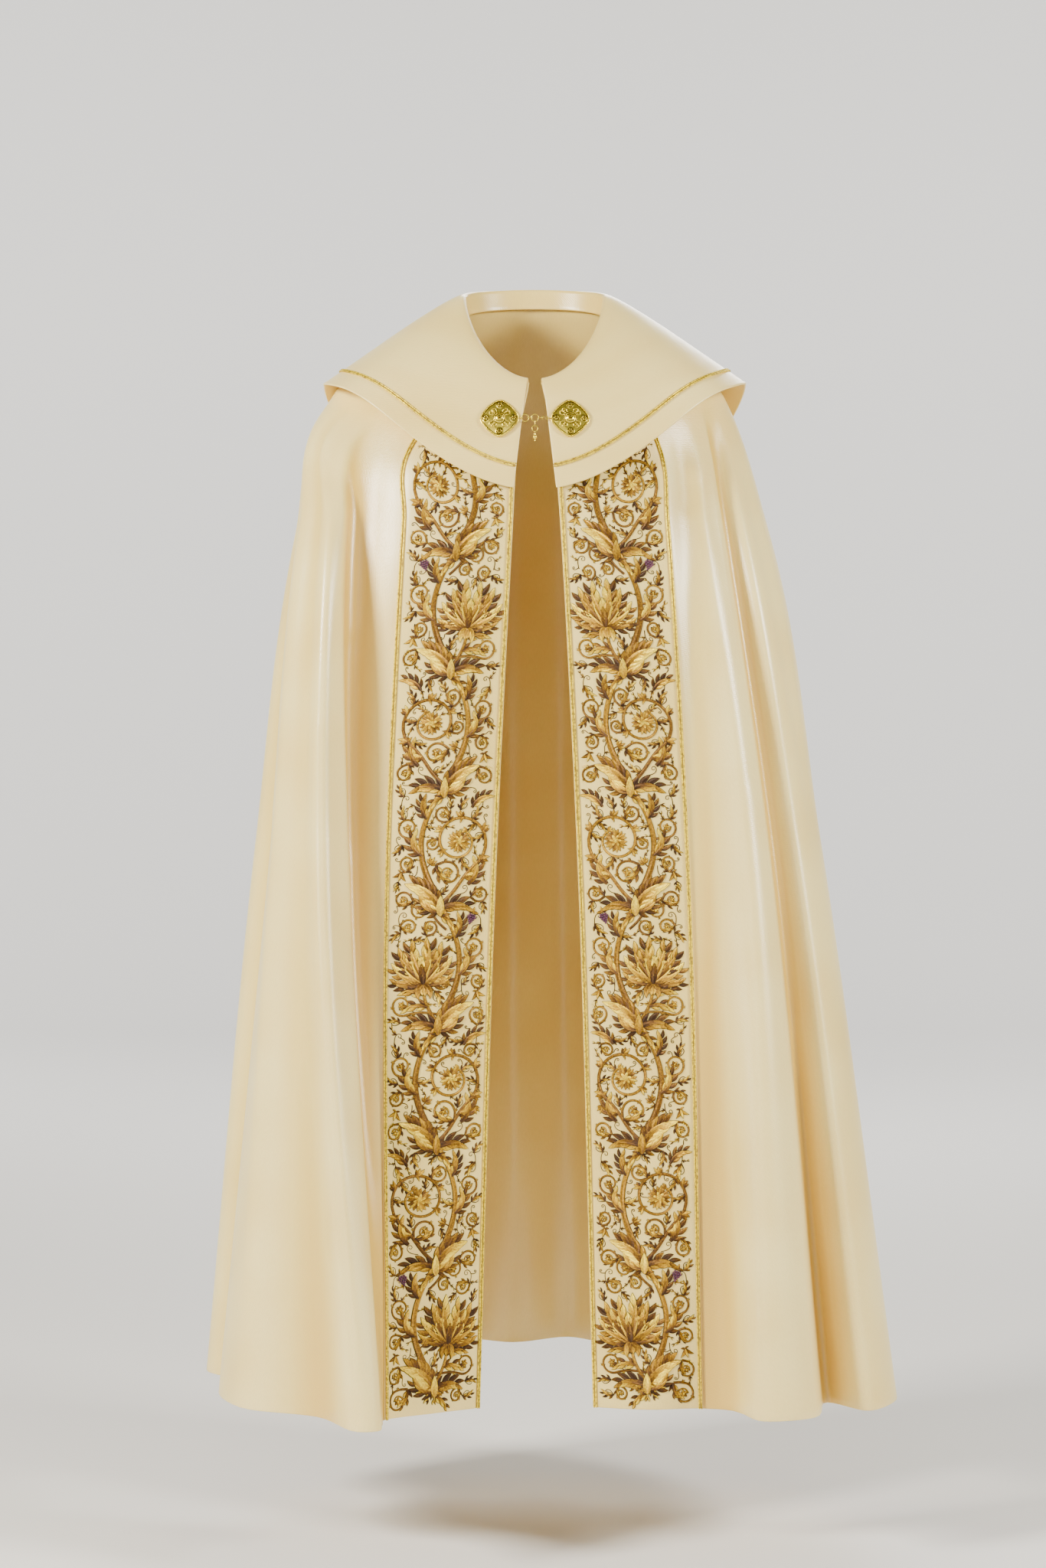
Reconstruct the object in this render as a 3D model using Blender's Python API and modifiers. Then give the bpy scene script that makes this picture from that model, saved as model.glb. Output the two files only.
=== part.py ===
"""Cope vestment: an open cloak with two orphreys, a falling collar and a chained clasp.

The cloth keeps the hollow form it has when worn. Lengths are metres and +Z is up. The front looks
along -Y, and the origin lies at the neck, midway between the shoulders. "Left" and "right" are
those of somebody who looks at the front.
"""

import math
from typing import NamedTuple

import bmesh
import bpy
import numpy as np
from mathutils import Matrix, Vector

# Cloth and trims
CLOAK_WALL = 0.0020
ORPHREY_WALL = 0.0015
BRAID_WALL = 0.0012
BRAID_WIDTH = 0.0055
COLLAR_WALL = 0.0025
SEAM_GAP = 0.0004
ORPHREY_LIFT = SEAM_GAP + ORPHREY_WALL
BRAID_LIFT = ORPHREY_LIFT + SEAM_GAP + BRAID_WALL

# Heights of the cloak's sections
CHEST_Z = -0.280
WAIST_Z = -0.667
HEM_Z = -1.340

# How finely the cloth is divided
RINGS_BETWEEN_SECTIONS = (2, 1, 3, 5, 7)
COLUMNS_PER_FOLD_LINE = 2
COLLAR_COLUMNS = 46
ORPHREY_TOP_RING = 1

# Neck and collar
NECK_HALF_WIDTH = 0.086
NECK_FRONT_Y = -0.125
NECK_BACK_Y = 0.066
ROLL_SIDE_Z = 0.012
NECK_FRONT_DROP = 0.118
NECK_BACK_RISE = 0.018
STAND_HEIGHT = 0.024
COLLAR_HALF_WIDTH = 0.262
COLLAR_FRONT_Y = -0.168
COLLAR_BACK_Y = 0.197
COLLAR_FLARE = 0.045
COLLAR_SIDE_Z = -0.100
COLLAR_FRONT_DROP = 0.143
COLLAR_BACK_DROP = 0.130
COLLAR_FRONT_CROWN = 0.0100
COLLAR_SIDE_CROWN = 0.0080
COLLAR_BACK_CROWN = 0.0210
COLLAR_OPENING_DEG = 5.8
STAND_LEAN = 0.004
STAND_FRONT_SHARE = 0.28
NECK_SEAM_SHARE = 0.1
NECK_SEAM_ROOM = 0.0029
COLLAR_BRAID_ABOVE_EDGE = 0.024

# How the collar's lines bend on their way round: powers of the cosine of the way round
ROLL_FALL_POWER = 1.25
EDGE_FALL_POWER = 3.2
EDGE_BACK_POWER = 1.3
EDGE_DEPTH_POWER = 0.7
SHOULDER_DROP_POWER = 1.6

# Clasp plates
PLATE_DEG = 14.0
PLATE_SHARE = 0.46
PLATE_RADIUS = 0.0235
PLATE_WAIST = 0.84
PLATE_WALL = 0.0014
PLATE_RISE = 0.0022
BOSS_RISE = 0.0026
BOSS_RADIUS = 0.0062
LOBE_RISE = 0.0013
LOBE_PLACE = 0.72
LOBE_RADIUS = 0.0046
PLATE_STANDOFF = 0.0002
PLATE_RINGS = 6
PLATE_SECTORS = 24
PLATE_STEP_DEG = 1.0
PLATE_STEP_SHARE = 0.02

# Chain and pendant: wires, and the play that every wire keeps in the next one
RING_RADIUS = 0.0043
RING_WIRE = 0.0012
EYE_RADIUS = 0.0018
EYE_PROUD = 0.0008
LINK_RADIUS = 0.0016
LINK_WIRE = 0.0010
HOOK_RADIUS = 0.0019
WIRE_PLAY = 0.0003
DROP_RING_RADIUS = 0.0036
DROP_RING_BELOW = 0.0128
BAIL_RADIUS = 0.0017
BEAD_LENGTH = 0.0090
BEAD_RADIUS = 0.0026
WIRE_SIDES = 6
RING_SIDES = 16
LINK_END_STEPS = 6
HOOK_BEND_STEPS = 9
HOOK_BEND_DEG = 195.0
HOOK_START_DEG = -75.0
BEAD_SIDES = 10


class Section(NamedTuple):
    """An oval ring of the cloth over the shoulders, where it has no folds yet."""

    name: str
    left: float
    right: float
    front_y: float
    back_y: float
    side_z: float
    front_drop: float
    back_drop: float


SHOULDER_SECTIONS = (
    #       name         left   right  front_y  back_y  side_z  front_drop back_drop
    Section("shoulder",  0.246, 0.231, -0.151,  0.148, -0.104,  0.088,     0.020),
    Section("upper arm", 0.268, 0.248, -0.155,  0.163, -0.137,  0.080,     0.020),
)
FOLDS_AT_UPPER_ARM = 0.45
PLAIN_FRONT_DEPTH = 0.155
ORPHREY_HALF_WIDTH = 0.066
ORPHREY_HALF_COLUMN = 0.55


class FoldLine(NamedTuple):
    """A line that runs down the cloth from the shoulder: a ridge, a valley or an edge."""

    name: str
    shoulder_deg: float
    chest_x: float
    chest_y: float
    waist_x: float
    waist_y: float
    hem_x: float
    hem_y: float


LEFT_FRONT = (
    #        name                 deg    chest x, y        waist x, y        hem x, y
    FoldLine("front edge",        -5.0, -0.027, -0.157, -0.046, -0.158, -0.067, -0.185),
    FoldLine("orphrey middle",   -20.0, -0.093, -0.159, -0.111, -0.168, -0.121, -0.220),
    FoldLine("orphrey outer",    -34.5, -0.160, -0.148, -0.178, -0.163, -0.177, -0.262),
    FoldLine("valley",           -49.0, -0.214, -0.130, -0.221, -0.152, -0.176, -0.298),
    FoldLine("bulge edge",       -53.0, -0.229, -0.150, -0.225, -0.190, -0.181, -0.326),
    FoldLine("bulge front",      -58.0, -0.244, -0.156, -0.248, -0.214, -0.205, -0.330),
    FoldLine("dip",              -64.0, -0.260, -0.136, -0.277, -0.186, -0.256, -0.242),
    FoldLine("broad ridge",      -70.0, -0.277, -0.117, -0.306, -0.154, -0.338, -0.196),
    FoldLine("flank",            -79.0, -0.287, -0.072, -0.322, -0.092, -0.386, -0.092),
    FoldLine("crease",           -90.0, -0.283, -0.018, -0.314, -0.018, -0.368, -0.012),
    FoldLine("back fold",       -102.0, -0.302,  0.045, -0.353,  0.058, -0.416,  0.066),
    FoldLine("back fold rear",  -112.0, -0.282,  0.083, -0.330,  0.112, -0.398,  0.146),
)
RIGHT_FRONT = (
    #        name                 deg    chest x, y        waist x, y        hem x, y
    FoldLine("front edge",         6.0,  0.031, -0.157,  0.051, -0.158,  0.070, -0.180),
    FoldLine("orphrey middle",    22.0,  0.096, -0.159,  0.117, -0.170,  0.134, -0.197),
    FoldLine("orphrey outer",     38.0,  0.160, -0.147,  0.184, -0.164,  0.200, -0.190),
    FoldLine("strip",             47.0,  0.190, -0.134,  0.216, -0.164,  0.236, -0.204),
    FoldLine("first bulge",       53.0,  0.210, -0.131,  0.250, -0.182,  0.266, -0.268),
    FoldLine("bulge side",        59.0,  0.226, -0.116,  0.277, -0.162,  0.328, -0.246),
    FoldLine("valley",            64.0,  0.233, -0.098,  0.287, -0.124,  0.352, -0.152),
    FoldLine("second bulge",      71.0,  0.253, -0.100,  0.315, -0.132,  0.391, -0.202),
    FoldLine("second side",       80.0,  0.277, -0.070,  0.344, -0.092,  0.432, -0.150),
    FoldLine("flank",             91.0,  0.290, -0.024,  0.354, -0.024,  0.438, -0.052),
    FoldLine("rear",             102.0,  0.281,  0.036,  0.342,  0.054,  0.418,  0.062),
    FoldLine("rear dip",         111.0,  0.265,  0.075,  0.316,  0.104,  0.384,  0.128),
)


class BackLine(NamedTuple):
    """A fold line of the back: where it lies round the oval, and how far it stands out."""

    deg: float
    out_at_hem: float


BACK_LINES = (
    BackLine(-121.0, -0.014), BackLine(-130.0, 0.022), BackLine(-139.0, -0.018),
    BackLine(-149.0, 0.030), BackLine(-159.0, -0.024), BackLine(-168.0, 0.018),
    BackLine(-176.0, -0.016), BackLine(-186.0, 0.027), BackLine(-196.0, -0.022),
    BackLine(-206.0, 0.030), BackLine(-216.0, -0.016), BackLine(-225.0, 0.020),
    BackLine(-234.0, -0.014), BackLine(-241.0, 0.014),
)


class BackOval(NamedTuple):
    """Half width and depth of the back at one height, and how far its folds have grown."""

    half_width: float
    back_y: float
    fold_growth: float


BACK_CHEST = BackOval(0.292, 0.182, 0.22)
BACK_WAIST = BackOval(0.348, 0.232, 0.55)
BACK_HEM = BackOval(0.420, 0.292, 1.00)

COLOURS = {
    # name: (red, green, blue, roughness, metallic)
    "ivory satin": (0.86, 0.76, 0.54, 0.45, 0.0),
    "embroidered satin": (0.66, 0.50, 0.20, 0.55, 0.0),
    "gold braid": (0.72, 0.50, 0.12, 0.40, 0.4),
    "gilt brass": (0.80, 0.56, 0.20, 0.30, 1.0),
}


def clear_scene():
    """Remove every object the file starts with."""
    for thing in list(bpy.data.objects):
        bpy.data.objects.remove(thing, do_unlink=True)


def make_material(name):
    """Return the material of a finish, made the first time it is asked for."""
    found = bpy.data.materials.get(name)
    if found:
        return found
    red, green, blue, roughness, metallic = COLOURS[name]
    made = bpy.data.materials.new(name)
    made.use_nodes = True
    shader = made.node_tree.nodes["Principled BSDF"]
    shader.inputs["Base Color"].default_value = (red, green, blue, 1.0)
    shader.inputs["Roughness"].default_value = roughness
    shader.inputs["Metallic"].default_value = metallic
    return made


def link_piece(name, data, finish, collection):
    """Make the object of a piece from its mesh or curve, with its finish."""
    data.materials.append(make_material(finish))
    piece = bpy.data.objects.new(name, data)
    collection.objects.link(piece)
    return piece


def smooth_through(points, places, wanted):
    """Read a smooth curve through points, which lie at places, at the wanted places."""
    points = np.asarray(points, float)
    places = np.asarray(places, float)
    steps = np.diff(places)
    slopes = np.diff(points, axis=0) / steps.reshape((-1,) + (1,) * (points.ndim - 1))
    tangents = np.empty_like(points)
    tangents[0] = slopes[0]
    tangents[-1] = slopes[-1]
    for k in range(1, len(points) - 1):
        before, after = steps[k - 1], steps[k]
        tangents[k] = (slopes[k - 1] * after + slopes[k] * before) / (before + after)
    found = []
    for place in wanted:
        k = min(max(int(np.searchsorted(places, place)) - 1, 0), len(steps) - 1)
        share = (place - places[k]) / steps[k]
        square, cube = share**2, share**3
        found.append(
            points[k] * (2 * cube - 3 * square + 1)
            + points[k + 1] * (3 * square - 2 * cube)
            + tangents[k] * (cube - 2 * square + share) * steps[k]
            + tangents[k + 1] * (cube - square) * steps[k]
        )
    return np.array(found)


def neck_height(ahead):
    """Return the height of the collar's roll, for the cosine of the way round."""
    if ahead > 0:
        return ROLL_SIDE_Z - NECK_FRONT_DROP * ahead**ROLL_FALL_POWER
    return ROLL_SIDE_Z + NECK_BACK_RISE * -ahead


def collar_edge_height(ahead):
    """Return the height of the collar's outer edge, for the cosine of the way round."""
    if ahead > 0:
        return COLLAR_SIDE_Z - COLLAR_FRONT_DROP * ahead**EDGE_FALL_POWER
    return COLLAR_SIDE_Z - COLLAR_BACK_DROP * (-ahead) ** EDGE_BACK_POWER


def collar_edge_point(degrees):
    """Return a point of the collar's outer edge, which stands wider behind the shoulders."""
    turn = math.radians(degrees)
    side, ahead = math.sin(turn), math.cos(turn)
    if ahead > 0:
        depth = COLLAR_FRONT_Y * ahead**EDGE_DEPTH_POWER
        spread = 1.0
    else:
        spread = 1.0 + COLLAR_FLARE * math.sin(2.0 * turn) ** 2
        depth = -COLLAR_BACK_Y * ahead * spread
    return Vector((COLLAR_HALF_WIDTH * side * spread, depth, collar_edge_height(ahead)))


def collar_point(degrees, share):
    """Return a point of the collar's fall: share 0 is the roll at the neck, 1 the outer edge."""
    turn = math.radians(degrees)
    side, ahead = math.sin(turn), math.cos(turn)
    neck_y = NECK_FRONT_Y if ahead > 0 else -NECK_BACK_Y
    roll = Vector((NECK_HALF_WIDTH * side, neck_y * ahead, neck_height(ahead)))
    way = collar_edge_point(degrees) - roll
    along = Vector((ahead, side, 0.0))
    outward = along.cross(way).normalized()
    end_crown = COLLAR_FRONT_CROWN if ahead > 0 else COLLAR_BACK_CROWN
    crown = COLLAR_SIDE_CROWN + (end_crown - COLLAR_SIDE_CROWN) * abs(ahead)
    return roll + way * share - outward * crown * math.sin(math.pi * math.sqrt(share))


def stand_point(degrees, share):
    """Return a point of the collar's stand: share 0 is the seam at the neck, 1 the roll."""
    turn = math.radians(degrees)
    ahead = math.cos(turn)
    fullness = 1.0 - max(ahead, 0.0) ** 2
    height = STAND_HEIGHT * (STAND_FRONT_SHARE + (1.0 - STAND_FRONT_SHARE) * fullness)
    outward = Vector((math.sin(turn), -ahead, 0.0))
    fall = (1.0 - share) * Vector((0.0, 0.0, height))
    return collar_point(degrees, 0.0) - fall - outward * STAND_LEAN * (1.0 - share)


def cloak_neck_point(degrees):
    """Return a point of the cloak's neck edge, which is sewn round the collar's stand."""
    turn = math.radians(degrees)
    outward = Vector((math.sin(turn), -math.cos(turn), 0.0))
    seam = stand_point(degrees, NECK_SEAM_SHARE)
    return np.array(seam + outward * (COLLAR_WALL + NECK_SEAM_ROOM))


def shoulder_point(section, degrees):
    """Return the point of a shoulder section that lies this far round it."""
    turn = math.radians(degrees)
    side, ahead = math.sin(turn), math.cos(turn)
    half = section.right if side > 0 else section.left
    depth = section.front_y if ahead > 0 else -section.back_y
    drop = section.front_drop if ahead > 0 else section.back_drop
    height = section.side_z - drop * abs(ahead) ** SHOULDER_DROP_POWER
    return np.array([half * side, depth * ahead, height])


def back_point(oval, line, height):
    """Return a back fold line's point at one height."""
    turn = math.radians(line.deg)
    out = line.out_at_hem * oval.fold_growth
    return np.array([
        (oval.half_width + out) * math.sin(turn),
        -(oval.back_y + out) * math.cos(turn),
        height,
    ])


def fold_line_points():
    """Return each fold line's shoulder angle and its points at chest, waist and hem, in order."""
    rows = []
    for line in LEFT_FRONT:
        rows.append((line.shoulder_deg, level_points(line)))
    for line in BACK_LINES:
        rows.append((line.deg, [
            back_point(BACK_CHEST, line, CHEST_Z),
            back_point(BACK_WAIST, line, WAIST_Z),
            back_point(BACK_HEM, line, HEM_Z),
        ]))
    for line in reversed(RIGHT_FRONT):
        rows.append((line.shoulder_deg - 360.0, level_points(line)))
    return rows


def level_points(line):
    """Return a front fold line's points at chest, waist and hem."""
    return [
        np.array([line.chest_x, line.chest_y, CHEST_Z]),
        np.array([line.waist_x, line.waist_y, WAIST_Z]),
        np.array([line.hem_x, line.hem_y, HEM_Z]),
    ]


def cloak_sections():
    """Return the points of every fold line on the six sections, from the neck to the hem."""
    rows = fold_line_points()
    shoulder, upper = SHOULDER_SECTIONS
    sections = []
    for degrees, (chest, waist, hem) in rows:
        plain_upper = shoulder_point(upper, degrees)
        spread = math.hypot(plain_upper[0], plain_upper[1])
        at_chest = math.hypot(chest[0], chest[1])
        typical = plain_chest_radius(degrees)
        stretch = 1.0 + FOLDS_AT_UPPER_ARM * (at_chest - typical) / spread
        upper_point = plain_upper * np.array([stretch, stretch, 1.0])
        sections.append([
            cloak_neck_point(degrees),
            shoulder_point(shoulder, degrees),
            upper_point,
            chest,
            waist,
            hem,
        ])
    return np.array(sections).transpose(1, 0, 2)


def plain_chest_radius(degrees):
    """Return how far from the middle the chest section lies where it has no fold."""
    turn = math.radians(degrees)
    depth = PLAIN_FRONT_DEPTH if math.cos(turn) > 0 else BACK_CHEST.back_y
    return math.hypot(BACK_CHEST.half_width * math.sin(turn), depth * math.cos(turn))


def column_places(lines):
    """Return where the cloth's columns lie along its fold lines, and the orphreys' outer columns."""
    braid_share = BRAID_WIDTH / ORPHREY_HALF_WIDTH
    left = [0.0, braid_share, ORPHREY_HALF_COLUMN, 1.0]
    left += [1.5, 2.0 - braid_share, 2.0]
    last = lines - 1.0
    right = [last - place for place in reversed(left)]
    middle = []
    line = 2.0
    while line < last - 2.0 - 1e-9:
        steps = range(1, COLUMNS_PER_FOLD_LINE + 1)
        middle.extend(line + step / COLUMNS_PER_FOLD_LINE for step in steps)
        line += 1.0
    return left + middle[:-1] + right, len(left)


def ring_places():
    """Return where the cloth's rings lie along the six sections."""
    places = [0.0]
    for section, rings in enumerate(RINGS_BETWEEN_SECTIONS):
        places.extend(section + (k + 1) / rings for k in range(rings))
    return places


def cloak_grid():
    """Return the cloak's outer points, one row for each ring, and the columns of an orphrey."""
    sections = cloak_sections()
    steps = np.linalg.norm(np.diff(sections[3:], axis=1), axis=2).mean(axis=0)
    along = np.concatenate([[0.0], np.cumsum(steps)])
    columns, orphrey_columns = column_places(sections.shape[1])
    wanted = np.interp(columns, range(len(along)), along)
    wide = np.array([smooth_through(section, along, wanted) for section in sections])
    down = np.concatenate([[0.0], np.cumsum(
        np.linalg.norm(np.diff(wide, axis=0), axis=2).mean(axis=1))])
    wanted = np.interp(ring_places(), range(len(down)), down)
    return smooth_through(wide, down, wanted), orphrey_columns


def grid_normals(grid):
    """Return the outward normal at each point of a grid of rings and columns."""
    across = np.gradient(grid, axis=1)
    down = np.gradient(grid, axis=0)
    normals = np.cross(across, down)
    return normals / np.linalg.norm(normals, axis=2, keepdims=True)


def cloth(name, grid, wall, finish, collection):
    """Make a cloth piece: a grid of outer points with its wall inside them."""
    rings, columns = grid.shape[:2]
    shape = bmesh.new()
    points = [[shape.verts.new(point) for point in ring] for ring in grid]
    for i in range(rings - 1):
        for j in range(columns - 1):
            shape.faces.new((points[i][j], points[i + 1][j + 1], points[i + 1][j]))
            shape.faces.new((points[i][j], points[i][j + 1], points[i + 1][j + 1]))
    mesh = bpy.data.meshes.new(name)
    shape.to_mesh(mesh)
    shape.free()
    mesh.shade_smooth()
    piece = link_piece(name, mesh, finish, collection)
    solid = piece.modifiers.new("wall", "SOLIDIFY")
    solid.thickness = wall
    solid.offset = -1.0
    solid.use_even_offset = True
    return piece


def make_cloak(collection):
    """Make the cloak, the two orphreys on its fronts and the braids on their edges."""
    grid, orphrey_columns = cloak_grid()
    normals = grid_normals(grid)
    cloth("cloak", grid, CLOAK_WALL, "ivory satin", collection)
    bands = (
        ("left", slice(0, orphrey_columns), slice(0, 2), slice(orphrey_columns - 2, orphrey_columns)),
        ("right", slice(-orphrey_columns, None), slice(-2, None),
         slice(-orphrey_columns, 2 - orphrey_columns)),
    )
    below = slice(ORPHREY_TOP_RING, None)
    for side, band, front, outer in bands:
        orphrey = grid[below, band] + normals[below, band] * ORPHREY_LIFT
        cloth(f"orphrey_{side}", orphrey, ORPHREY_WALL, "embroidered satin", collection)
        for edge, strip in (("front", front), ("outer", outer)):
            braid = grid[below, strip] + normals[below, strip] * BRAID_LIFT
            cloth(f"braid_{side}_{edge}", braid, BRAID_WALL, "gold braid", collection)


def make_collar(collection):
    """Make the falling collar and the braid above its edge."""
    turns = np.linspace(-COLLAR_OPENING_DEG, -360.0 + COLLAR_OPENING_DEG, COLLAR_COLUMNS + 1)
    braid_shares = []
    rows = [[stand_point(turn, share) for turn in turns] for share in (0.0, 0.5)]
    roll_shares = (0.0, 0.05, 0.2, 0.4, 0.6)
    rows += [[collar_point(turn, share) for turn in turns] for share in roll_shares]
    for turn in turns:
        length = (collar_point(turn, 1.0) - collar_point(turn, 0.0)).length
        lower = 1.0 - COLLAR_BRAID_ABOVE_EDGE / length
        braid_shares.append((lower - BRAID_WIDTH / length, lower))
    upper_row = [collar_point(turn, pair[0]) for turn, pair in zip(turns, braid_shares)]
    lower_row = [collar_point(turn, pair[1]) for turn, pair in zip(turns, braid_shares)]
    edge_row = [collar_point(turn, 1.0) for turn in turns]
    grid = np.array([*rows, upper_row, lower_row, edge_row], float)
    cloth("collar", grid, COLLAR_WALL, "ivory satin", collection)
    braid_rows = slice(len(rows), len(rows) + 2)
    braid = grid[braid_rows] + grid_normals(grid)[braid_rows] * (SEAM_GAP + BRAID_WALL)
    cloth("collar_braid", braid, BRAID_WALL, "gold braid", collection)


def make_empty(name, place, collection, parent=None):
    """Make a pivot that pieces hang from; place is in its parent's own frame."""
    pivot = bpy.data.objects.new(name, None)
    pivot.empty_display_size = 0.005
    pivot.location = place
    pivot.parent = parent
    collection.objects.link(pivot)
    return pivot


def plate_frame(side):
    """Return the frame of a clasp plate on the collar: its X runs right, its Z stands off."""
    turn = side * PLATE_DEG
    centre = collar_point(turn, PLATE_SHARE)
    after = collar_point(turn + PLATE_STEP_DEG, PLATE_SHARE)
    before = collar_point(turn - PLATE_STEP_DEG, PLATE_SHARE)
    below = collar_point(turn, PLATE_SHARE + PLATE_STEP_SHARE)
    above = collar_point(turn, PLATE_SHARE - PLATE_STEP_SHARE)
    around = after - before
    down = below - above
    normal = around.cross(-down).normalized()
    right = Vector((0.0, 0.0, 1.0)).cross(normal).normalized()
    upward = normal.cross(right)
    frame = Matrix((right, upward, normal)).transposed().to_4x4()
    frame.translation = centre + normal * (PLATE_STANDOFF + PLATE_WALL)
    return frame


def plate_height(across, upward):
    """Return how far the plate's face stands off at a point: a low dome with five bosses."""
    radius = math.hypot(across, upward)
    height = PLATE_RISE * (1.0 - (radius / PLATE_RADIUS) ** 2)
    height += BOSS_RISE * max(0.0, 1.0 - (radius / BOSS_RADIUS) ** 2)
    for quarter in range(4):
        turn = quarter * math.pi / 2
        away_x = across - LOBE_PLACE * PLATE_RADIUS * math.cos(turn)
        away_y = upward - LOBE_PLACE * PLATE_RADIUS * math.sin(turn)
        height += LOBE_RISE * max(0.0, 1.0 - (math.hypot(away_x, away_y) / LOBE_RADIUS) ** 2)
    return height


def make_plate(name, side, collection):
    """Make a clasp plate: a thin raised lozenge with full sides and four round corners."""
    shape = bmesh.new()
    middle = shape.verts.new((0.0, 0.0, plate_height(0.0, 0.0)))
    rings = []
    for ring in range(1, PLATE_RINGS + 1):
        points = []
        for sector in range(PLATE_SECTORS):
            turn = math.tau * sector / PLATE_SECTORS
            lobe = 0.5 + 0.5 * math.cos(4.0 * turn)
            reach = PLATE_RADIUS * (PLATE_WAIST + (1.0 - PLATE_WAIST) * lobe)
            across = reach * math.cos(turn) * ring / PLATE_RINGS
            upward = reach * math.sin(turn) * ring / PLATE_RINGS
            points.append(shape.verts.new((across, upward, plate_height(across, upward))))
        rings.append(points)
    for sector in range(PLATE_SECTORS):
        after = (sector + 1) % PLATE_SECTORS
        shape.faces.new((middle, rings[0][sector], rings[0][after]))
        for inner, outer in zip(rings, rings[1:]):
            shape.faces.new((inner[sector], outer[sector], outer[after], inner[after]))
    mesh = bpy.data.meshes.new(name)
    shape.to_mesh(mesh)
    shape.free()
    mesh.shade_smooth()
    piece = link_piece(name, mesh, "gilt brass", collection)
    piece.matrix_world = plate_frame(side)
    solid = piece.modifiers.new("wall", "SOLIDIFY")
    solid.thickness = PLATE_WALL
    solid.offset = -1.0
    return piece


def make_ring(name, radius, wire, turn, place, parent, collection):
    """Make a round ring of wire, turned from lying flat, at a place in its parent's frame."""
    bpy.ops.mesh.primitive_torus_add(
        major_segments=RING_SIDES,
        minor_segments=WIRE_SIDES,
        major_radius=radius,
        minor_radius=wire / 2,
    )
    ring = bpy.context.object
    ring.name = name
    for holder in list(ring.users_collection):
        holder.objects.unlink(ring)
    collection.objects.link(ring)
    ring.data.materials.append(make_material("gilt brass"))
    ring.data.shade_smooth()
    ring.parent = parent
    ring.rotation_euler = turn
    ring.location = place
    return ring


def make_wire(name, points, wire, closed, parent, collection):
    """Make a bent wire through points in its parent's frame."""
    curve = bpy.data.curves.new(name, "CURVE")
    curve.dimensions = "3D"
    curve.bevel_depth = wire / 2
    curve.bevel_resolution = 1
    curve.use_fill_caps = not closed
    spline = curve.splines.new("POLY")
    spline.points.add(len(points) - 1)
    for point, place in zip(spline.points, points):
        point.co = (*place, 1.0)
    spline.use_cyclic_u = closed
    piece = link_piece(name, curve, "gilt brass", collection)
    piece.parent = parent
    return piece


def long_link(start, end, radius):
    """Return the centre line of a link with two round ends, whose wire passes start and end."""
    middle_start, middle_end = start + radius, end - radius
    points = []
    for step in range(LINK_END_STEPS + 1):
        turn = math.pi / 2 + math.pi * step / LINK_END_STEPS
        points.append((middle_start + radius * math.cos(turn), radius * math.sin(turn)))
    for step in range(LINK_END_STEPS + 1):
        turn = -math.pi / 2 + math.pi * step / LINK_END_STEPS
        points.append((middle_end + radius * math.cos(turn), radius * math.sin(turn)))
    return points


def hook_line(left_centre, right_centre, radius):
    """Return the centre line of an S hook between two round bends."""
    points = []
    for step in range(HOOK_BEND_STEPS + 1):
        turn = math.radians(HOOK_START_DEG - HOOK_BEND_DEG * step / HOOK_BEND_STEPS)
        points.append((left_centre + radius * math.cos(turn), radius * math.sin(turn)))
    for step in range(HOOK_BEND_STEPS + 1):
        turn = math.radians(-90.0 + HOOK_BEND_DEG * step / HOOK_BEND_STEPS)
        points.append((right_centre + radius * math.cos(turn), radius * math.sin(turn)))
    return points


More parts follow.
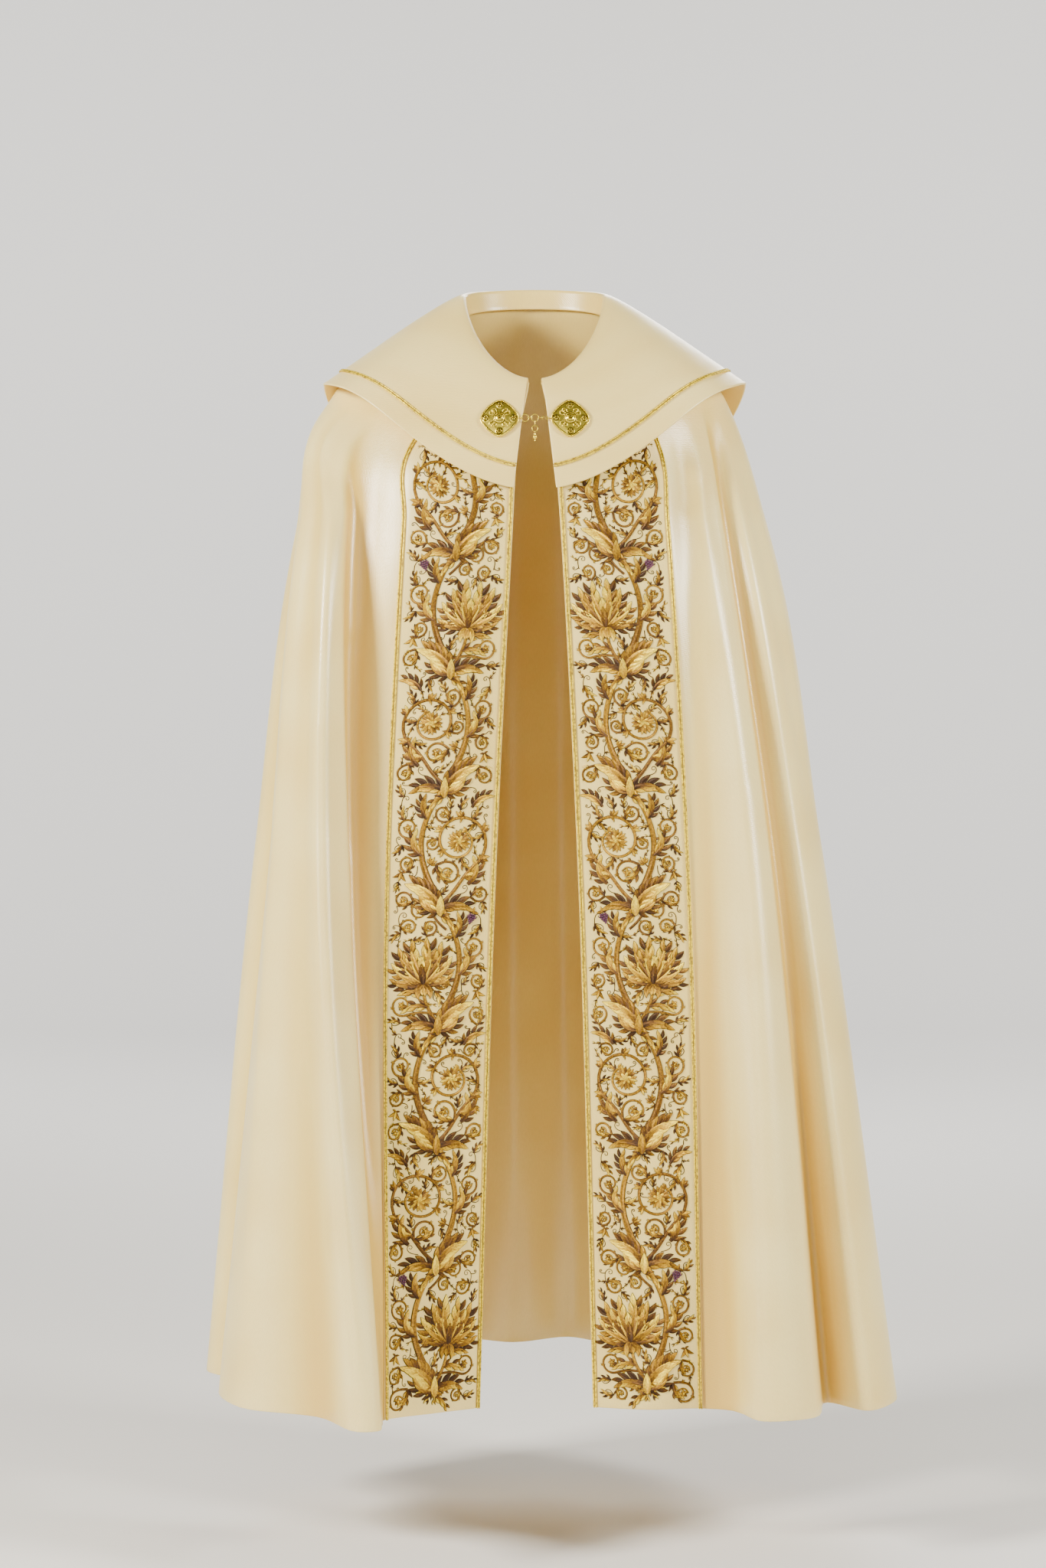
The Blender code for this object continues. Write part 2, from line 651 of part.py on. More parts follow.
def make_clasp(collection):
    """Make the plates, the chain between them and the pendant on the chain's middle ring."""
    flat = (0.0, 0.0, 0.0)
    facing = (math.pi / 2, 0.0, 0.0)
    sideways = (0.0, math.pi / 2, 0.0)
    make_plate("plate_left", -1.0, collection)
    make_plate("plate_right", 1.0, collection)
    reach = PLATE_RADIUS + EYE_RADIUS + LINK_WIRE / 2 + WIRE_PLAY
    eye_left = plate_frame(-1.0) @ Vector((reach, 0.0, EYE_PROUD))
    half = -eye_left.x
    chain = make_empty("chain middle", (0.0, eye_left.y, eye_left.z), collection)

    ring_slack = EYE_RADIUS - LINK_WIRE / 2 - RING_WIRE / 2 - WIRE_PLAY
    hook_slack = EYE_RADIUS - LINK_WIRE - WIRE_PLAY
    ring_left = -half + ring_slack + RING_RADIUS
    hook_right = half - hook_slack - HOOK_RADIUS
    hook_left = hook_right - 2.0 * HOOK_RADIUS
    grip = RING_WIRE / 2 + WIRE_PLAY + LINK_WIRE / 2
    hook_grip = LINK_WIRE + WIRE_PLAY

    rings = (
        ("eye_left", EYE_RADIUS, LINK_WIRE, flat, -half),
        ("eye_right", EYE_RADIUS, LINK_WIRE, flat, half),
        ("ring_left", RING_RADIUS, RING_WIRE, facing, ring_left),
        ("ring_middle", RING_RADIUS, RING_WIRE, facing, 0.0),
    )
    for name, radius, wire, turn, across in rings:
        make_ring(name, radius, wire, turn, (across, 0.0, 0.0), chain, collection)
    links = (
        ("link_left", ring_left + RING_RADIUS - grip, -RING_RADIUS + grip),
        ("link_right", RING_RADIUS - grip, hook_left - HOOK_RADIUS + hook_grip),
    )
    for name, start, end in links:
        line = [(x, y, 0.0) for x, y in long_link(start, end, LINK_RADIUS)]
        make_wire(name, line, LINK_WIRE, True, chain, collection)
    line = [(x, 0.0, z) for x, z in hook_line(hook_left, hook_right, HOOK_RADIUS)]
    make_wire("hook", line, LINK_WIRE, False, chain, collection)

    sway = make_empty("pendant sway", (0.0, 0.0, 0.0), collection, chain)
    drop_top = DROP_RING_BELOW - DROP_RING_RADIUS
    small_grip = LINK_WIRE + WIRE_PLAY
    hanging = long_link(RING_RADIUS - grip, drop_top + small_grip, LINK_RADIUS)
    line = [(0.0, y, -x) for x, y in hanging]
    make_wire("pendant_link", line, LINK_WIRE, True, sway, collection)

    swing = make_empty("pendant swing", (0.0, 0.0, -drop_top), collection, sway)
    middle = (0.0, 0.0, -DROP_RING_RADIUS)
    make_ring("drop_ring", DROP_RING_RADIUS, LINK_WIRE, facing, middle, swing, collection)
    bail = 2.0 * DROP_RING_RADIUS + BAIL_RADIUS - small_grip
    middle = (0.0, 0.0, -bail)
    make_ring("drop_bail", BAIL_RADIUS, LINK_WIRE, sideways, middle, swing, collection)
    make_bead("drop_bead", bail + BAIL_RADIUS + LINK_WIRE / 2 + WIRE_PLAY, swing, collection)


def make_bead(name, below, parent, collection):
    """Make the turned drop at the end of the pendant, its top this far below its parent."""
    profile = (
        # share of the largest radius, share of the length
        (0.0, 0.0), (0.45, 0.0), (0.40, 0.10), (0.75, 0.22), (1.0, 0.42),
        (0.85, 0.62), (0.40, 0.76), (0.30, 0.84), (0.36, 0.92), (0.0, 1.0),
    )
    shape = bmesh.new()
    points = []
    for wide, down in profile:
        point = (BEAD_RADIUS * wide, 0.0, -below - BEAD_LENGTH * down)
        points.append(shape.verts.new(point))
    for upper, lower in zip(points, points[1:]):
        shape.edges.new((upper, lower))
    mesh = bpy.data.meshes.new(name)
    shape.to_mesh(mesh)
    shape.free()
    piece = link_piece(name, mesh, "gilt brass", collection)
    piece.parent = parent
    turned = piece.modifiers.new("turned", "SCREW")
    turned.steps = BEAD_SIDES
    turned.render_steps = BEAD_SIDES
    turned.use_merge_vertices = True
    turned.merge_threshold = 0.00001
    return piece


def main():
    """Build the vestment."""
    clear_scene()
    collection = bpy.data.collections.new("cope vestment")
    bpy.context.scene.collection.children.link(collection)
    make_cloak(collection)
    make_collar(collection)
    make_clasp(collection)


main()
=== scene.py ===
"""Cope vestment: the looks of the worn cope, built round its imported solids.

Lengths are metres and +Z is up. The front looks along -Y, and the origin lies at the neck, midway
between the shoulders. "Left" and "right" are those of somebody who looks at the front. The cloth's
form repeats the sizes of the part's source, with more columns and rings and with its creases.
"""

import logging
import math
from dataclasses import dataclass, field
from enum import Enum
from typing import Any, NamedTuple, Sequence

import bpy
import numpy as np
from bpy.types import Material, Mesh, Node, NodeSocket, NodeTree, Object
from mathutils import Matrix, Vector


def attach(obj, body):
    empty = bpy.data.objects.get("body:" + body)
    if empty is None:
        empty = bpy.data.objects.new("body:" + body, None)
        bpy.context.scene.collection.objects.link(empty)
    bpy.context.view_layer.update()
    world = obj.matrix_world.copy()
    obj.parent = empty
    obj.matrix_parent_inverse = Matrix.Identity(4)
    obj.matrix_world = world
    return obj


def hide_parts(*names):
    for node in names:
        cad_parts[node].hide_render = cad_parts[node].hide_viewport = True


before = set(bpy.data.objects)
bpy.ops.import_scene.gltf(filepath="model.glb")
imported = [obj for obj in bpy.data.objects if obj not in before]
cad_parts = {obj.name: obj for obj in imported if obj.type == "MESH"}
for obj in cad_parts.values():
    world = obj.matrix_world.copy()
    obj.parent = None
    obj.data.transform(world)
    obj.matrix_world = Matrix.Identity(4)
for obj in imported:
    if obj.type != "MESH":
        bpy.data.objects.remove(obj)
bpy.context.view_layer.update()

VESTMENT = "vestment"
PENDANT_LINK = "pendant_link"
PENDANT_DROP = "pendant_drop"
MM = 0.001
UP = Vector((0.0, 0.0, 1.0))
# how rings that lie flat are turned: left so, to face the front, or to face the sides
FLAT = Matrix.Identity(3)
FACING = Matrix.Rotation(math.pi / 2, 3, "X")
SIDEWAYS = Matrix.Rotation(math.pi / 2, 3, "Y")
# where the embroidery starts on its band, and how far it ends above the band's foot
DESIGN_TOP = 0.045
DESIGN_FOOT_ROOM = 0.008

log = logging.getLogger("cope")


class Slot(Enum):
    """The record's material slots."""

    SATIN = "ivory_satin"
    EMBROIDERY = "orphrey_embroidery"
    BRAID = "gold_braid"
    BRASS = "gilt_brass"


class Side(Enum):
    """The two fronts, and the sign of their X."""

    LEFT = -1
    RIGHT = 1

    @property
    def word(self) -> str:
        """Return the side's name as nodes and pieces have it."""
        return self.name.lower()


def linear_colour(hex_colour: str) -> tuple[float, float, float, float]:
    """Turn an sRGB hex colour to the linear values that a colour socket holds.

    Args:
        hex_colour: The colour as "#RRGGBB".

    Returns:
        Red, green, blue and alpha.
    """
    shares = [int(hex_colour[k:k + 2], 16) / 255.0 for k in (1, 3, 5)]
    linear = [s / 12.92 if s <= 0.04045 else ((s + 0.055) / 1.055) ** 2.4 for s in shares]
    return linear[0], linear[1], linear[2], 1.0


def add_node(
    tree: NodeTree,
    kind: str,
    settings: dict[str, Any] | None = None,
    inputs: dict[Any, Any] | None = None,
) -> Node:
    """Add a node to a tree with its settings, its values and what feeds it.

    Args:
        tree: The node tree.
        kind: The node's type, such as "ShaderNodeTexNoise".
        settings: Values for the node's own properties.
        inputs: For an input's name or number, its value or the output that feeds it.

    Returns:
        The new node.
    """
    node = tree.nodes.new(kind)
    for name, value in (settings or {}).items():
        setattr(node, name, value)
    for name, value in (inputs or {}).items():
        if isinstance(value, NodeSocket):
            tree.links.new(value, node.inputs[name])
        else:
            node.inputs[name].default_value = value
    return node


def add_maths(
    tree: NodeTree, operation: str, first: Any, second: Any = 0.0, third: Any = 0.0,
    clamp: bool = False,
) -> NodeSocket:
    """Add a maths node and return its result.

    Args:
        tree: The node tree.
        operation: The operation's name, such as "MULTIPLY".
        first: The first value, or the output that feeds it.
        second: The second value, or the output that feeds it.
        third: What "MULTIPLY_ADD" adds.
        clamp: Whether the result is kept between 0 and 1.

    Returns:
        The node's output.
    """
    settings = {"operation": operation, "use_clamp": clamp}
    inputs = {0: first, 1: second, 2: third}
    return add_node(tree, "ShaderNodeMath", settings, inputs).outputs[0]


def add_noise(
    tree: NodeTree, place: NodeSocket, scale: float, detail: float,
    roughness: float = 0.5, dimensions: str = "2D",
) -> NodeSocket:
    """Add a noise texture.

    Args:
        tree: The material's tree.
        place: Where the noise is read.
        scale: How fine it is.
        detail: How many finer layers it has.
        roughness: How much the finer layers show.
        dimensions: "2D" along the cloth, or "3D" in space.

    Returns:
        The noise, from 0 to 1.
    """
    inputs = {"Vector": place, "Scale": scale, "Detail": detail, "Roughness": roughness}
    node = add_node(tree, "ShaderNodeTexNoise", {"noise_dimensions": dimensions}, inputs)
    return node.outputs[0]


def add_ramp(tree: NodeTree, share: NodeSocket, stops: Sequence[tuple[float, str]]) -> NodeSocket:
    """Add a colour ramp.

    Args:
        tree: The node tree.
        share: What the ramp reads, from 0 to 1.
        stops: Places and their hex colours, in order.

    Returns:
        The ramp's colour output.
    """
    node = add_node(tree, "ShaderNodeValToRGB", inputs={"Fac": share})
    ramp = node.color_ramp
    while len(ramp.elements) < len(stops):
        ramp.elements.new(1.0)
    for element, (place, colour) in zip(ramp.elements, stops):
        element.position = place
        element.color = linear_colour(colour)
    return node.outputs["Color"]


def add_mix(tree: NodeTree, share: Any, first: Any, second: Any) -> NodeSocket:
    """Add a mix of two colours, given as hex colours or as outputs.

    Args:
        tree: The node tree.
        share: How much of the second colour shows.
        first: The first colour.
        second: The second colour.

    Returns:
        The mixed colour.
    """
    first, second = (linear_colour(c) if isinstance(c, str) else c for c in (first, second))
    inputs = {0: share, 6: first, 7: second}
    return add_node(tree, "ShaderNodeMix", {"data_type": "RGBA"}, inputs).outputs[2]


def new_material(name: str, settings: dict[str, Any]) -> tuple[Material, Node]:
    """Make a material with a Principled shader.

    Args:
        name: What the finish is.
        settings: The shader's constant values by socket name.

    Returns:
        The material and its shader node.
    """
    material = bpy.data.materials.new(name)
    material.use_nodes = True
    shader = material.node_tree.nodes["Principled BSDF"]
    for socket, value in settings.items():
        shader.inputs[socket].default_value = value
    return material, shader


def add_bump(
    tree: NodeTree,
    shader: Node,
    height: NodeSocket,
    distance: float,
    strength: float = 1.0,
) -> None:
    """Give a shader the bumps of a height.

    Args:
        tree: The material's tree.
        shader: The shader.
        height: A height from 0 to 1.
        distance: How tall a height of 1 is.
        strength: How much of the bump shows.
    """
    inputs = {"Height": height, "Distance": distance, "Strength": strength}
    bump = add_node(tree, "ShaderNodeBump", inputs=inputs)
    tree.links.new(bump.outputs["Normal"], shader.inputs["Normal"])


@dataclass(frozen=True)
class SatinFinish:
    """Wool and silk satin, woven with long warp floats and pressed.

    The floats give a soft, wide gleam along the folds. The base colour holds painted light: a
    painted golden shade in the folds stands for light that bounces between them, and a painted
    highlight lightens the ridges. The cloth's "fold" attribute says how deep in a fold a point lies,
    and is below 0 on a ridge. Faint patches of the painted golden shade lie at random between the
    folds.
    """

    name: str = "woven ivory satin"
    ivory: str = "#F2D67C"
    # painted golden shade, for fold valleys and random patches
    hollow: str = "#DAB044"
    # painted highlight, for the ridges
    crown: str = "#FCE598"
    fleck: str = "#C2A050"
    roughness: float = 0.30
    float_width: float = 1.6 * MM  # about five times the real one, so that it shows
    float_length: float = 7.0 * MM
    rib_pitch: float = 2.4 * MM  # the twill line, drawn four times too wide
    grain_height: float = 0.16 * MM
    bump: float = 0.9
    rib_share: float = 0.35
    fleck_share: float = 0.22
    fold_share: float = 0.9
    cloud_scale: float = 4.0
    cloud_share: float = 0.35
    # random patches of the painted golden shade
    shade_patch_scale: float = 6.5
    shade_patch_gain: float = 0.75
    shade_patch_floor: float = 0.28

    def make(self) -> Material:
        """Return the material."""
        settings = {
            "Roughness": self.roughness,
            "Sheen Weight": 0.08,
            "Sheen Roughness": 0.35,
            "Sheen Tint": linear_colour("#FFF3D6"),
            "Specular IOR Level": 0.80,
            "Subsurface Weight": 0.06,
            "Subsurface Scale": 0.01,
        }
        material, shader = new_material(self.name, settings)
        tree = material.node_tree
        place = add_node(tree, "ShaderNodeUVMap", {"uv_map": "cloth"}).outputs["UV"]
        stretch = (1.0 / self.float_width, 1.0 / self.float_length, 1.0)
        floats = add_node(tree, "ShaderNodeMapping", inputs={"Vector": place, "Scale": stretch})
        grain = add_noise(tree, floats.outputs[0], 1.0, 2.0, 0.6)
        rib_scale = math.tau / (10.0 * math.sqrt(2.0) * self.rib_pitch)
        rib = add_node(
            tree, "ShaderNodeTexWave", {"wave_type": "BANDS", "bands_direction": "DIAGONAL"},
            {"Vector": place, "Scale": rib_scale, "Distortion": 1.2, "Detail": 1.0},
        ).outputs["Fac"]
        height = add_maths(tree, "MULTIPLY_ADD", rib, self.rib_share, grain)
        add_bump(tree, shader, height, self.grain_height, self.bump)

        cloudy = add_noise(tree, place, self.cloud_scale, 2.0)
        depth = add_node(tree, "ShaderNodeAttribute", {"attribute_name": "fold"}).outputs["Fac"]
        # painted highlight: the ivory turns to the crown colour on ridges and in random lighter clouds
        ridge = add_maths(tree, "MULTIPLY", depth, -1.0, clamp=True)
        lit = add_maths(tree, "MULTIPLY_ADD", cloudy, self.cloud_share, ridge, clamp=True)
        highlit_ivory = add_mix(tree, lit, self.ivory, self.crown)
        # painted golden shade: in fold valleys, and in random patches
        drift = add_noise(tree, place, self.shade_patch_scale, 1.0)
        shade_patches = add_maths(
            tree, "MULTIPLY_ADD", drift, self.shade_patch_gain, -self.shade_patch_floor, clamp=True
        )
        shaded = add_maths(tree, "MULTIPLY", depth, self.fold_share, clamp=True)
        hollow = add_maths(tree, "MAXIMUM", shaded, shade_patches, clamp=True)
        warm = add_mix(tree, hollow, highlit_ivory, self.hollow)
        speck = add_maths(tree, "MULTIPLY", grain, self.fleck_share)
        tree.links.new(add_mix(tree, speck, warm, self.fleck), shader.inputs["Base Color"])
        return material


@dataclass(frozen=True)
class ThreadFinish:
    """Gold and silk embroidery thread, laid in padded satin stitch and couched at the rims.

    Its "thread" attribute holds the tone, how far a point lies from its form's rim in millimetres,
    and a number of the form's own. The stitches slant from each form's vein to its rim.
    """

    name: str = "gold and silk embroidery thread"
    pale: str = "#FADC40"
    gold: str = "#B88A10"
    antique: str = "#654008"
    brown: str = "#331C03"
    rim: str = "#241203"
    rim_mm: float = 0.70
    rim_sharpness: float = 4.0
    roughness: float = 0.42
    metallic: float = 0.60
    slant: float = 0.9
    bump: float = 0.8
    mottle_scale: float = 420.0
    wave_tone: float = 0.16
    mottle_tone: float = 0.5
    form_tone: float = 0.14
    tone_shift: float = 0.48
    stitch_pitch: float = 1.5 * MM  # three times the real thread, so that it shows
    stitch_height: float = 0.35 * MM

    def make(self) -> Material:
        """Return the material."""
        settings = {"Roughness": self.roughness, "Metallic": self.metallic}
        material, shader = new_material(self.name, settings)
        tree = material.node_tree
        thread = add_node(tree, "ShaderNodeAttribute", {"attribute_name": "thread"})
        parts = add_node(tree, "ShaderNodeSeparateXYZ", inputs={0: thread.outputs["Vector"]})
        tone, rim_distance, own = parts.outputs
        place = add_node(tree, "ShaderNodeUVMap", {"uv_map": "cloth"}).outputs["UV"]
        flat = add_node(tree, "ShaderNodeSeparateXYZ", inputs={0: place})
        slant = add_maths(tree, "MULTIPLY", add_maths(tree, "ABSOLUTE", flat.outputs[0]), self.slant)
        along = add_maths(tree, "SUBTRACT", flat.outputs[1], slant)
        turns = add_maths(tree, "MULTIPLY", along, math.tau / self.stitch_pitch)
        wave = add_maths(tree, "MULTIPLY_ADD", add_maths(tree, "SINE", turns), 0.5, 0.5)
        add_bump(tree, shader, wave, self.stitch_height, self.bump)

        mottled = add_noise(tree, place, self.mottle_scale, 1.0)
        # painted light along the stitches: lighter on each stitch's crown, darker in its groove
        shade = add_maths(tree, "MULTIPLY_ADD", wave, self.wave_tone, tone)
        speckled = add_maths(tree, "MULTIPLY_ADD", mottled, self.mottle_tone, shade)
        varied = add_maths(tree, "MULTIPLY_ADD", own, self.form_tone, speckled)
        centred = add_maths(tree, "SUBTRACT", varied, self.tone_shift, clamp=True)
        stops = ((0.0, self.brown), (0.3, self.antique), (0.62, self.gold), (1.0, self.pale))
        colour = add_ramp(tree, centred, stops)
        dark = add_maths(tree, "SUBTRACT", self.rim_mm, rim_distance)
        dark = add_maths(tree, "MULTIPLY", dark, self.rim_sharpness, clamp=True)
        tree.links.new(add_mix(tree, dark, colour, self.rim), shader.inputs["Base Color"])
        return material


@dataclass(frozen=True)
class BraidFinish:
    """Gilt thread round a cotton core, twisted to a cord: bright crowns, warm hollows."""

    name: str = "twisted gilt braid"
    bright: str = "#F8DC30"
    deep: str = "#86680C"
    roughness: float = 0.34
    metallic: float = 0.45
    fibre_scale: float = 380.0
    fibre_height: float = 0.12 * MM

    def make(self) -> Material:
        """Return the material."""
        settings = {"Roughness": self.roughness, "Metallic": self.metallic}
        material, shader = new_material(self.name, settings)
        tree = material.node_tree
        place = add_node(tree, "ShaderNodeTexCoord").outputs["Object"]
        noise = add_noise(tree, place, self.fibre_scale, 2.0, dimensions="3D")
        # partly random tone, partly painted highlight and shade: the noise that raises the bumps also
        # lightens the colour
        colour = add_ramp(tree, noise, ((0.30, self.deep), (0.60, self.bright)))
        tree.links.new(colour, shader.inputs["Base Color"])
        add_bump(tree, shader, noise, self.fibre_height, 0.6)
        return material


@dataclass(frozen=True)
class BrassFinish:
    """Cast and gilded brass, polished on its crowns and dark where polish never reaches.

    Its "hollow" attribute says how much of the dark colour a point gets: tarnish on the chain's
    wires, and painted shade on the plate's middle, its sunk ground and back, the floret rings, the
    inner scrolls, the inner wires and the eyes.
    """

    name: str = "gilded brass"
    gilt: str = "#FFE552"
    tarnish_and_shade: str = "#38220A"
    roughness: float = 0.26
    roughness_spread: float = 0.16
    roughness_drop: float = 0.06
    cast_scale: float = 260.0
    cast_height: float = 0.05 * MM

    def make(self) -> Material:
        """Return the material."""
        settings = {"Roughness": self.roughness, "Metallic": 1.0}
        material, shader = new_material(self.name, settings)
        tree = material.node_tree
        place = add_node(tree, "ShaderNodeTexCoord").outputs["Object"]
        noise = add_noise(tree, place, self.cast_scale, 3.0, dimensions="3D")
        hollow = add_node(tree, "ShaderNodeAttribute", {"attribute_name": "hollow"}).outputs["Fac"]
        # dark colour: tarnish, and painted shade on the plates' relief
        colour = add_mix(tree, hollow, self.gilt, self.tarnish_and_shade)
        tree.links.new(colour, shader.inputs["Base Color"])
        least = self.roughness - self.roughness_drop
        gloss = add_maths(tree, "MULTIPLY_ADD", noise, self.roughness_spread, least)
        tree.links.new(gloss, shader.inputs["Roughness"])
        add_bump(tree, shader, noise, self.cast_height, 0.4)
        return material


@dataclass(frozen=True)
class PlainFinish:
    """Matt paint, for the floor, or dyed silk, for small dots of colour."""

    name: str
    colour: str
    roughness: float = 0.6

    def make(self) -> Material:
        """Return the material."""
        settings = {"Base Color": linear_colour(self.colour), "Roughness": self.roughness}
        return new_material(self.name, settings)[0]


def smooth_through(points: np.ndarray, places: np.ndarray, wanted: np.ndarray) -> np.ndarray:
    """Read a smooth curve through points at the wanted places.

    Args:
        points: The points, or rows of points.
        places: Where each of them lies along the curve.
        wanted: The places to read.

    Returns:
        The curve's points there.
    """
    steps = np.diff(places)
    slopes = np.diff(points, axis=0) / steps.reshape((-1,) + (1,) * (points.ndim - 1))
    tangents = np.empty_like(points)
    tangents[0] = slopes[0]
    tangents[-1] = slopes[-1]
    for k in range(1, len(points) - 1):
        before, after = steps[k - 1], steps[k]
        tangents[k] = (slopes[k - 1] * after + slopes[k] * before) / (before + after)
    found = []
    for place in wanted:
        k = min(max(int(np.searchsorted(places, place)) - 1, 0), len(steps) - 1)
        share = (place - places[k]) / steps[k]
        square, cube = share**2, share**3
        found.append(
            points[k] * (2 * cube - 3 * square + 1)
            + points[k + 1] * (3 * square - 2 * cube)
            + tangents[k] * (cube - 2 * square + share) * steps[k]
            + tangents[k + 1] * (cube - square) * steps[k]
        )
    return np.array(found)


def grid_normals(grid: np.ndarray) -> np.ndarray:
    """Return the outward normal at each point of a grid of rings and columns."""
    normals = np.cross(np.gradient(grid, axis=1), np.gradient(grid, axis=0))
    return normals / np.linalg.norm(normals, axis=2, keepdims=True)


def lengths_along(points: np.ndarray, axis: int) -> np.ndarray:
    """Return how far each grid point lies from the first one of its row or column.

    Args:
        points: A grid of points.
        axis: 0 to go down the columns, 1 to go across the rows.

    Returns:
        A grid of lengths.
    """
    steps = np.linalg.norm(np.diff(points, axis=axis), axis=2)
    start = np.zeros_like(np.take(steps, [0], axis=axis))
    return np.concatenate([start, np.cumsum(steps, axis=axis)], axis=axis)


class Section(NamedTuple):
    """An oval ring of the cloth over the shoulders, where it has no folds yet."""

    name: str
    left: float
    right: float
    front_y: float
    back_y: float
    side_z: float
    front_drop: float
    back_drop: float


class FoldLine(NamedTuple):
    """A line that runs down the cloth from the shoulder: a ridge, a valley or an edge."""

    name: str
    shoulder_deg: float
    chest_x: float
    chest_y: float
    waist_x: float
    waist_y: float
    hem_x: float
    hem_y: float


class BackLine(NamedTuple):
    """A fold line of the back: where it lies round the oval, and how far it stands out."""

    deg: float
    out_at_hem: float


class BackOval(NamedTuple):
    """Half width and depth of the back at one height, and how far its folds have grown."""

    half_width: float
    back_y: float
    fold_growth: float


class Crease(NamedTuple):
    """A soft ridge (height above 0) or trough between two places on the cloth.

    A place is a fold line's number, counted from the left front edge, and a section's, counted
    from the neck. The half width and the height are metres.
    """

    line: float
    section: float
    end_line: float
    end_section: float
    half_width: float
    height: float


class Wave(NamedTuple):
    """A soft wave of the collar, which grows from its roll to its edge."""

    degrees: float
    half_width_deg: float
    height: float


CREASE_STEPS = 12
CREASE_END = 0.12
# gain of the fold depth that drives the satin's painted shade and painted highlight
FOLD_CONTRAST = 3.4
FOLD_SMOOTHINGS = 3

COLLAR_WAVES = (
    Wave(-47.0, 10.0, 0.0030), Wave(-72.0, 11.0, -0.0035), Wave(-97.0, 10.0, 0.0030),
    Wave(-121.0, 9.0, 0.0045), Wave(-146.0, 11.0, -0.0030), Wave(-171.0, 10.0, 0.0040),
    Wave(-196.0, 10.0, -0.0025), Wave(-219.0, 11.0, 0.0045), Wave(-243.0, 9.0, -0.0035),
    Wave(-266.0, 9.0, 0.0040), Wave(-290.0, 11.0, -0.0040), Wave(-314.0, 9.0, 0.0030),
)


@dataclass(frozen=True)
class CollarForm:
    """The falling collar and its stand, as the part's source has them."""

    neck_half_width: float = 0.086
    neck_front_y: float = -0.125
    neck_back_y: float = 0.066
    roll_side_z: float = 0.012
    neck_front_drop: float = 0.118
    neck_back_rise: float = 0.018
    stand_height: float = 0.024
    stand_front_share: float = 0.28
    half_width: float = 0.262
    front_y: float = -0.168
    back_y: float = 0.197
    flare: float = 0.045
    side_z: float = -0.100
    front_drop: float = 0.143
    back_drop: float = 0.130
    front_crown: float = 0.010
    side_crown: float = 0.008
    back_crown: float = 0.021
    opening_deg: float = 5.8
    stand_lean: float = 0.004
    wall: float = 0.0025
    seam_room: float = 0.0029
    seam_share: float = 0.1
    roll_fall_power: float = 1.25
    edge_fall_power: float = 3.2
    edge_back_power: float = 1.3
    edge_depth_power: float = 0.7
    wave_power: float = 1.5

    def neck_height(self, ahead: float) -> float:
        """Return the height of the roll, for the cosine of the way round."""
        if ahead > 0:
            return self.roll_side_z - self.neck_front_drop * ahead**self.roll_fall_power
        return self.roll_side_z + self.neck_back_rise * -ahead

    def edge_height(self, ahead: float) -> float:
        """Return the height of the outer edge, for the cosine of the way round."""
        if ahead > 0:
            return self.side_z - self.front_drop * ahead**self.edge_fall_power
        return self.side_z - self.back_drop * (-ahead) ** self.edge_back_power

    def edge_point(self, degrees: float) -> Vector:
        """Return a point of the outer edge, which stands wider behind the shoulders."""
        turn = math.radians(degrees)
        side, ahead = math.sin(turn), math.cos(turn)
        if ahead > 0:
            depth = self.front_y * ahead**self.edge_depth_power
            spread = 1.0
        else:
            spread = 1.0 + self.flare * math.sin(2.0 * turn) ** 2
            depth = -self.back_y * ahead * spread
        return Vector((self.half_width * side * spread, depth, self.edge_height(ahead)))

    def point(self, degrees: float, share: float) -> Vector:
        """Return a point of the fall.

        Args:
            degrees: The way round from the middle of the front.
            share: 0 at the roll at the neck, 1 at the outer edge.

        Returns:
            The point on the cloth's outer face.
        """
        turn = math.radians(degrees)
        side, ahead = math.sin(turn), math.cos(turn)
        neck_y = self.neck_front_y if ahead > 0 else -self.neck_back_y
        roll = Vector((self.neck_half_width * side, neck_y * ahead, self.neck_height(ahead)))
        way = self.edge_point(degrees) - roll
        outward = Vector((ahead, side, 0.0)).cross(way).normalized()
        end_crown = self.front_crown if ahead > 0 else self.back_crown
        crown = self.side_crown + (end_crown - self.side_crown) * abs(ahead)
        wave = sum(self.wave_height(row, degrees) for row in COLLAR_WAVES) * share**self.wave_power
        swell = crown * math.sin(math.pi * math.sqrt(share)) + wave
        return roll + way * share - outward * swell

    @staticmethod
    def wave_height(row: Wave, degrees: float) -> float:
        """Return what one wave adds at the collar's edge, at one way round."""
        away = (degrees if degrees <= 0.0 else degrees - 360.0) - row.degrees
        return row.height * math.exp(-((away / row.half_width_deg) ** 2))

    def stand_point(self, degrees: float, share: float) -> Vector:
        """Return a point of the stand: share 0 is the seam at the neck, 1 the roll."""
        turn = math.radians(degrees)
        ahead = math.cos(turn)
        tall = self.stand_front_share
        height = self.stand_height * (tall + (1.0 - tall) * (1.0 - max(ahead, 0.0) ** 2))
        outward = Vector((math.sin(turn), -ahead, 0.0))
        fall = (1.0 - share) * Vector((0.0, 0.0, height))
        return self.point(degrees, 0.0) - fall - outward * self.stand_lean * (1.0 - share)

    def cloak_neck_point(self, degrees: float) -> np.ndarray:
        """Return a point of the cloak's neck edge, which is sewn round the stand."""
        turn = math.radians(degrees)
        outward = Vector((math.sin(turn), -math.cos(turn), 0.0))
        room = self.wall + self.seam_room
        return np.array(self.stand_point(degrees, self.seam_share) + outward * room)


